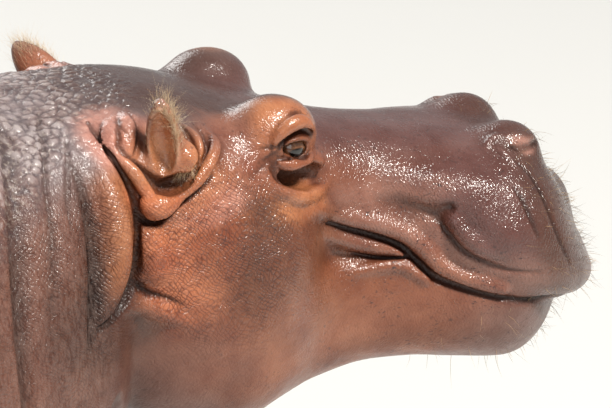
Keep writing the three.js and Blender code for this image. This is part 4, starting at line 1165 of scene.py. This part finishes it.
cloud = noise(spot, 16.0, 5.0, 0.6)
face = mixed(spread(cloud, 0.35, 0.7), tint, dyed(tint, 206, 180, 170))
lines = times(spread(cracks, 0.0, 0.8, 1.0, 0.0), patchy)
face = mixed(times(lines, spread(netted, 0, 1, 0.15, 0.8)), face, dyed(face, 150, 112, 92))
face = mixed(times(times(creased, long_creases), 0.1), face, colour(176, 152, 142))
mottle = spread(noise(drawn, 62.0, 3.0, 0.6), 0.5, 0.66)
face = mixed(times(mottle, spread(netted, 0, 1, 0.12, 0.5)), face, dyed(face, 150, 118, 104))
freckle = times(spread(noise(drawn, 150.0, 2.0, 0.5), 0.6, 0.69), spread(noise(spot, 22.0, 2.0), 0.45, 0.6))
face = mixed(times(freckle, spread(grained, 0, 1, 0.5, 0.95)), face, colour(66, 42, 38))
speck = times(on_top, spread(noise(spot, 190.0, 2.0, 0.5), 0.54, 0.66))
face = mixed(times(speck, 0.25), face, colour(190, 178, 164))
# Paler tops of the warts, partly their own tone and partly painted highlight; then painted shade between the
# warts.
face = mixed(spread(warty, 0.5, 1.0, 0.0, 0.5), face, colour(178, 168, 166))
face = mixed(times(on_top, spread(warty, 0.0, 0.5, 0.85, 0.0)), face, colour(66, 56, 60))
tree.links.new(face, shader.inputs["Base Color"])
damp = spread(noise(spot, 38.0, 4.0, 0.65), 0.35, 0.68, 0.0, 0.22)
tree.links.new(plus(damp, spread(wetness, 0, 1, 0.42, 0.2)), shader.inputs["Roughness"])
tree.links.new(times(wetness, 0.75), shader.inputs["Coat Weight"])
done.materials.clear()
done.materials.append(hide_paint)


# ---------------------------------------------------------------- eyes
# Two wet brown balls, darker round a wide, low pupil, that look out and a little down from under heavy lids.
# Each sits in the socket of the hide, with the clear front bulging slightly over the iris.
def sheet(across, along, closed_across=False):
    """Faces of a grid of along rows, each of across vertices, joined round when it is closed across."""
    row, j = np.meshgrid(np.arange(along - 1) * across, np.arange(across if closed_across else across - 1),
                         indexing="ij")
    k = (j + 1) % across
    return np.stack([row + j, row + k, row + across + k, row + across + j], -1).reshape(-1, 4)


def unit(v):
    """A direction of length 1, or rows of them."""
    v = np.asarray(v, float)
    return v / np.maximum(np.linalg.norm(v, axis=-1, keepdims=True), 1e-12)


eye_paint, tree, shader, spot = paint("wet eye", Roughness=0.07, IOR=1.38, Coat_Weight=1.0,
                                      Coat_Roughness=0.02)
from_pupil, from_middle = from_mesh("from the pupil"), from_mesh("from the middle")
streaks = from_mesh("streak")
veins = noise(spot, 260.0, 4.0, 0.7)
ball = mixed(spread(veins, 0.4, 0.62), colour(128, 86, 56), colour(96, 58, 38))
# The ball darker toward its edge: partly its own darker rim and partly painted shade of the socket and lids.
ball = mixed(spread(from_middle, 0.62, 0.95), ball, colour(52, 30, 18))
iris = mixed(streaks, colour(40, 24, 14), colour(96, 60, 34))
ball = mixed(spread(from_pupil, 1.0, 1.3, 1.0, 0.0), ball, iris)
ball = mixed(spread(from_pupil, 0.85, 1.02, 1.0, 0.0), ball, colour(7, 5, 4))
tree.links.new(ball, shader.inputs["Base Color"])

for side, name in ((1, "left"), (-1, "right")):
    low, high = (np.array(corner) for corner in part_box("eye_" + name))
    middle, radius = (low + high) / 2, (high - low).max() / 2
    gaze = unit([0.06, side, -0.14])
    level = unit(np.cross([0, 0, 1], gaze))
    rise = np.cross(gaze, level)
    turn = np.linspace(0, 2 * math.pi, 49)[:-1]
    polar = np.linspace(0, math.pi, 37)[1:-1, None]
    bulge = radius * (1 + 0.05 * np.exp(-(polar / 0.5) ** 2)) * 0.985
    ring = (middle + (bulge * np.cos(polar))[..., None] * gaze
            + (bulge * np.sin(polar) * np.cos(turn))[..., None] * level
            + (bulge * np.sin(polar) * np.sin(turn))[..., None] * rise).reshape(-1, 3)
    poles = np.stack([middle + gaze * radius * 1.035, middle - gaze * radius * 0.985])
    n, last = len(turn), len(ring) - len(turn)
    nose = np.stack([np.full(n, len(ring)), np.arange(n), (np.arange(n) + 1) % n], 1)
    back_end = np.stack([np.full(n, len(ring) + 1), last + (np.arange(n) + 1) % n, last + np.arange(n)], 1)
    eye = mesh_of("eyeball_" + name, np.concatenate([ring, poles]), sheet(n, len(polar), True)[:, ::-1],
                  nose, back_end)
    flat_x, flat_y = np.sin(polar) * np.cos(turn), np.sin(polar) * np.sin(turn)
    front = np.cos(polar) > 0
    oval = np.where(front, np.hypot(flat_x / 0.5, flat_y / 0.28), 9.0)
    attribute(eye.data, "from the pupil", np.append(oval.ravel(), [0, 9]))
    attribute(eye.data, "from the middle", np.append((polar + 0 * turn).ravel() / 1.1, [0, 3]))
    streak = 0.5 + 0.35 * np.sin(turn * 17 + 2 * np.sin(turn * 5)) * np.sin(turn * 31) + 0 * polar
    attribute(eye.data, "streak", np.append(streak.ravel(), [0.5, 0.5]))
    eye.data.materials.append(eye_paint)
    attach(eye, "root")
    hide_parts("eye_" + name)

# ---------------------------------------------------------------- toenails
# Sixteen blunt plates of dark horn, one round the front of each toe. Each is crowned, narrows to an arch
# at the top where it comes out of the hide, leans back with the toe and is scuffed at its lower edge.
nail_paint, tree, shader, spot = paint("dull horn", IOR=1.5)
level_of_nail = from_mesh("up the nail")
lines = noise(drawn_out(spot, (0.0, 0.0, 0.0), (1.0, 1.0, 0.12)), 420.0, 3.0, 0.6)
stains = noise(spot, 55.0, 4.0, 0.6)
horn = mixed(spread(stains, 0.35, 0.65), colour(66, 52, 46), colour(104, 86, 74))
horn = mixed(spread(level_of_nail, 0.0, 0.22, 0.75, 0.0), horn, colour(158, 142, 122))
horn = mixed(spread(level_of_nail, 0.8, 1.0, 0.0, 0.6), horn, colour(126, 92, 78))
horn = mixed(spread(lines, 0.45, 0.7, 0.0, 0.35), horn, colour(40, 32, 30))
tree.links.new(horn, shader.inputs["Base Color"])
tree.links.new(spread(stains, 0.3, 0.7, 0.42, 0.62), shader.inputs["Roughness"])
tree.links.new(bumped(lines, 0.0008, 0.7), shader.inputs["Normal"])

across, along = 19, 15
s, t = np.meshgrid(np.linspace(-1, 1, across), np.linspace(0, 1, along))
half_angle = np.radians(42) * np.sqrt(1 - 0.86 * t**3)
crown = ((1 - np.abs(s) ** 5) * (1 - t**7)) ** 0.5
nail_height = 0.4 + 4.9 * t * (1 - 0.1 * s * s)
plates, nail_faces, nail_levels, start = [], [], [], 0
for foot in (FORE_FOOT, HIND_FOOT):
    for side in (1, -1):
        for angle in TOE_ANGLES:
            _, tip, radius = toe(foot, angle)
            for reach in (radius - 0.5 + (0.5 + 0.7) * crown, 2.2 + 0 * crown):
                out = reach - math.tan(math.radians(9)) * (nail_height - 0.4)
                turn = np.radians(angle) + s * half_angle * (1 if reach.max() > 3 else 0.85)
                plates.append(np.stack([tip[0] + out * np.cos(turn), side * (tip[1] + out * np.sin(turn)),
                                        nail_height], -1).reshape(-1, 3))
                nail_levels.append(t.ravel())
            front, each = sheet(across, along), across * along
            grid = np.arange(each).reshape(along, across)
            rim = np.concatenate([grid[0, :-1], grid[:-1, -1], grid[-1, :0:-1], grid[:0:-1, 0]])
            band = np.stack([rim, rim + each, np.roll(rim, -1) + each, np.roll(rim, -1)], 1)
            block = start + np.concatenate([front, front[:, ::-1] + each, band])
            nail_faces.append(block if side > 0 else block[:, ::-1])
            start += 2 * each
nails = mesh_of("toenails", np.concatenate(plates) / 100 + np.array([AHEAD, 0, 0]), *nail_faces)
attribute(nails.data, "up the nail", np.concatenate(nail_levels))
nails.data.materials.append(nail_paint)
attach(nails, "root")
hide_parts(*[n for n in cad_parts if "nail" in n])


# ---------------------------------------------------------------- hair
# A hippopotamus is almost bare: stiff bristles stand on the muzzle, lips and chin, soft pale hair fringes
# the ears, and coarse dark bristles edge the end of the tail. Each hair is a thin three-sided horn.
chooser = np.random.default_rng(7)
corners = place[:, faces].transpose(2, 1, 0)                      # (corner, face, axis)
face_area = np.linalg.norm(np.cross(corners[1] - corners[0], corners[2] - corners[0]), axis=1)
face_way = unit(np.cross(corners[1] - corners[0], corners[2] - corners[0]))
face_middle = corners.mean(0)


def rooted(weight, count):
    """Places scattered over the hide, thicker where a face's weight is greater, and the way out there."""
    chosen = chooser.choice(len(faces), count, p=weight * face_area / (weight * face_area).sum())
    a, b = chooser.random((2, count, 1))
    a, b = np.where(a + b > 1, 1 - a, a), np.where(a + b > 1, 1 - b, b)
    root = corners[0][chosen] + a * (corners[1] - corners[0])[chosen] + b * (corners[2] - corners[0])[chosen]
    return root, face_way[chosen]


PATCH = 0.003          # how wide a hair's place is on its map


def hairs(name, root, aim, sag, length, thick, shade, steps=5):
    """Hairs whose middle line is root + length (aim t + sag t^2), three-sided and thinning to a point.
    Each has a patch of its own on its map, at its root's place on the hide unrolled about its long axis."""
    count = len(root)
    t = np.linspace(0, 1, steps + 1)
    far = t[None, :, None]
    line = root[:, None] + length[:, None, None] * (aim[:, None] * far + sag[:, None] * far**2)
    one = unit(np.cross(aim, unit(chooser.normal(size=(count, 3)))))
    two = np.cross(unit(aim), one)
    turn = (np.arange(3) * 2 * math.pi / 3)[None, None, :, None]
    ring = one[:, None, None] * np.cos(turn) + two[:, None, None] * np.sin(turn)
    radius = (thick[:, None] * (1 - 0.9 * t[None, :-1] ** 1.5))[..., None, None]
    body_ring = (line[:, :-1, None] + radius * ring).reshape(count, -1, 3)
    points = np.concatenate([body_ring, line[:, -1:]], 1)
    each = points.shape[1]
    quads = sheet(3, steps, True)
    ends = np.array([[0, 2, 1]])
    tip_faces = np.array([[3 * (steps - 1) + k, 3 * (steps - 1) + (k + 1) % 3, 3 * steps] for k in range(3)])
    offset = (np.arange(count) * each)[:, None, None]
    made = mesh_of(name, (points.reshape(-1, 3)) / 100 + np.array([AHEAD, 0, 0]),
                   (quads[None] + offset).reshape(-1, 4), (ends[None] + offset).reshape(-1, 3),
                   (tip_faces[None] + offset).reshape(-1, 3))
    unrolled = np.stack([0.03 + 0.94 * (root[:, 0] + 150) / 340,
                         0.5 + 0.94 * np.arctan2(root[:, 1], root[:, 2] - 90) / (2 * math.pi)], 1)
    way = np.append(np.repeat(t[:-1], 3), 1.0)
    within = np.stack([np.append(np.tile([0, 0.5, 1.0], steps), 0.5), way], 1) - 0.5
    uv = (unrolled[:, None] + PATCH * within[None]).reshape(-1, 2)
    corner_vertex = rows(made.data, "loops", "vertex_index", np.int32, 1)[:, 0]
    made.data.uv_layers.new(name="OFBake").data.foreach_set("uv", uv[corner_vertex].ravel())
    attribute(made.data, "hair colour", np.repeat(shade, each, axis=0).T)
    attribute(made.data, "along the hair", np.tile(way, count))
    made.data.materials.append(hair_paint)
    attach(made, "root")
    return made


hair_paint, tree, shader, spot = paint("hair", Roughness=0.38, IOR=1.5, Sheen_Weight=0.15)
strand = from_mesh("hair colour", "Color")
way_along = from_mesh("along the hair")
strand = mixed(spread(noise(spot, 300.0, 2.0), 0.4, 0.65, 0.0, 0.3), strand,
               dyed(strand, 170, 140, 110))
strand = mixed(spread(way_along, 0.0, 0.3, 0.25, 0.0), strand, colour(120, 82, 56))
tree.links.new(strand, shader.inputs["Base Color"])


def shades(count, dark, light, spread_out=0.35):
    """Each hair's colour, somewhere between a dark one and a light one."""
    share = held(0.5 + spread_out * chooser.normal(size=(count, 1)))
    return dark + share * (light - dark)


# Bristles of the muzzle, lips and chin.
ahead_of_eyes = face_middle - on_head((0, 0, 0))
bristly = (held((ahead_of_eyes[:, 0] - 27) / 12) * held((-4 - ahead_of_eyes[:, 2]) / 5)
           * np.clip((face_way[:, 0] + 0.25) / 0.5, 0.12, 1) * held((face_way[:, 2] + 0.9) / 0.4))
bristly += 0.15 * held((ahead_of_eyes[:, 0] - 10) / 14) * (ahead_of_eyes[:, 2] < -22)
root, way = rooted(bristly, 760)
aim = unit(way + 0.35 * chooser.normal(size=way.shape) + np.array([0.15, 0, -0.25]))
length = 0.9 + 1.9 * chooser.random(len(root)) ** 1.5
sag = 0.35 * chooser.normal(size=way.shape) + np.array([0, 0, -0.25])
hairs("muzzle_bristles", root, aim, sag, length, 0.018 + 0.016 * chooser.random(len(root)),
      shades(len(root), colour(52, 36, 26), colour(196, 160, 112)))

# Fringe of each ear: along its front edge and tip, a little in its cup, and on the lobe before it.
for side, name in ((1, "left"), (-1, "right")):
    inside, up_it, outer, inner, toward_front = on_ear(face_middle.T, side)
    rim = inside * np.exp(-((outer + inner) / 0.2) ** 2) * np.clip((up_it - 0.35) / 0.4, 0.03, 1)
    rim = rim * np.clip(0.2 + toward_front, 0.06, 1)
    tip = inside * np.exp(-(outer / 0.3) ** 2) * held((up_it - 0.62) / 0.2)
    tip = tip * np.clip(0.6 + toward_front, 0.1, 1)
    cup_face = inside * np.exp(-(inner / 0.2) ** 2) * held((up_it - 0.2) / 0.3)
    for part, weight, count, reach, spread_out, lean in (
            ("rim", rim, 380, (0.8, 2.3), 0.3, (0.1, 0.25 * side, 0.9)),
            ("tip", tip, 260, (1.2, 3.0), 0.38, (0.1, 0.2 * side, 1.0)),
            ("cup", cup_face, 140, (0.4, 1.1), 0.4, (-0.4, 0, 0.8))):
        root, way = rooted(weight, count)
        aim = unit(0.35 * way + np.array(lean) @ turned(side).T + spread_out * chooser.normal(size=way.shape))
        length = reach[0] + (reach[1] - reach[0]) * chooser.random(count)
        hairs(f"ear_hair_{part}_{name}", root, aim, 0.3 * chooser.normal(size=way.shape), length,
              0.008 + 0.007 * chooser.random(count),
              shades(count, colour(206, 164, 112), colour(252, 238, 204)))
    lobe = zone(face_middle.T, (-18.4, 18.4, 0.6), (1.6, 2.0, 1.4)) * (side * face_middle[:, 1] > 0)
    root, way = rooted(lobe, 110)
    aim = unit(0.7 * way + np.array([-0.35, 0, -0.7]) + 0.3 * chooser.normal(size=way.shape))
    hairs(f"lobe_hair_{name}", root, aim, 0.2 * chooser.normal(size=way.shape),
          0.7 + 1.0 * chooser.random(len(root)), 0.008 + 0.006 * chooser.random(len(root)),
          shades(len(root), colour(190, 146, 100), colour(244, 222, 178)))

# Bristles along the front and back edges of the tail's end.
lower_tail = (face_middle[:, 0] < -136) * held((76 - face_middle[:, 2]) / 10)
edge = (lower_tail * held(np.abs(face_way[:, 0]) - 0.45)
        + 0.6 * lower_tail * held(-face_way[:, 2]))
root, way = rooted(edge, 420)
aim = unit(way * np.array([1, 0.6, 0.5]) + np.array([0, 0, -0.9]) + 0.18 * chooser.normal(size=way.shape))
hairs("tail_bristles", root, aim, np.array([[0, 0, -0.35]]) + 0.12 * chooser.normal(size=way.shape),
      2.2 + 3.2 * chooser.random(len(root)), 0.03 + 0.02 * chooser.random(len(root)),
      shades(len(root), colour(28, 22, 20), colour(78, 58, 46)))

# ---------------------------------------------------------------- floor, light and camera
# A plain pale floor under soft lamps, and the camera at the near side of the head, a little above it.
FLOOR = 40.0           # how far the floor reaches each way
floor = mesh_of("floor", FLOOR * np.array([(-1, -1, 0), (1, -1, 0), (1, 1, 0), (-1, 1, 0)]),
                np.array([[0, 1, 2, 3]]))
floor.data.materials.append(paint("pale floor", Base_Color=(0.72, 0.72, 0.70, 1), Roughness=0.7)[0])

world = bpy.data.worlds.new("studio")
bpy.context.scene.world = world
world.use_nodes = True
world.node_tree.nodes["Background"].inputs["Color"].default_value = (0.97, 0.98, 1.0, 1)
world.node_tree.nodes["Background"].inputs["Strength"].default_value = 0.36


def lamp(name, place, aim, size, power, colour):
    """A square soft lamp at a place, turned to face the point it aims at."""
    light = bpy.data.lights.new(name, "AREA")
    light.size, light.energy, light.color = size, power, colour
    holder = placed(name, light)
    way = np.array(aim, float) - np.array(place, float)
    holder.location = place
    yaw, tilt = math.atan2(way[1], way[0]), math.atan2(math.hypot(way[0], way[1]), -way[2])
    holder.rotation_euler = (tilt, 0, yaw - math.pi / 2)


lamp("key lamp", (3.8, -4.3, 8.7), (0.9, 0, 1.0), 1.3, 1250, (1.0, 0.96, 0.9))
lamp("fill lamp", (-4.0, -8.0, 4.2), (0, 0, 0.9), 5.0, 150, (1.0, 0.98, 0.96))
lamp("back lamp", (0.0, 8.0, 5.6), (0, 0, 0.9), 5.0, 330, (1.0, 0.98, 0.95))

AZIMUTH, ELEVATION, REACH, LENS = -25.0, 20.5, 6.0, 250.0
a, e = math.radians(AZIMUTH), math.radians(ELEVATION)
back = np.array([math.sin(a) * math.cos(e), -math.cos(a) * math.cos(e), math.sin(e)])
right = np.array([math.cos(a), math.sin(a), 0.0])
up = np.cross(back, right)
target = np.array([AHEAD + HEAD[0] / 100, 0, HEAD[1] / 100]) + 0.0731 * right - 0.1257 * up
camera = placed("camera", bpy.data.cameras.new("camera"))
camera.location = target + REACH * back
camera.rotation_euler = (math.pi / 2 - e, 0, a)
camera.data.lens, camera.data.sensor_width = LENS, 36.0
camera.data.clip_end = 200
bpy.context.scene.camera = camera
bpy.context.scene.view_settings.view_transform = "Standard"
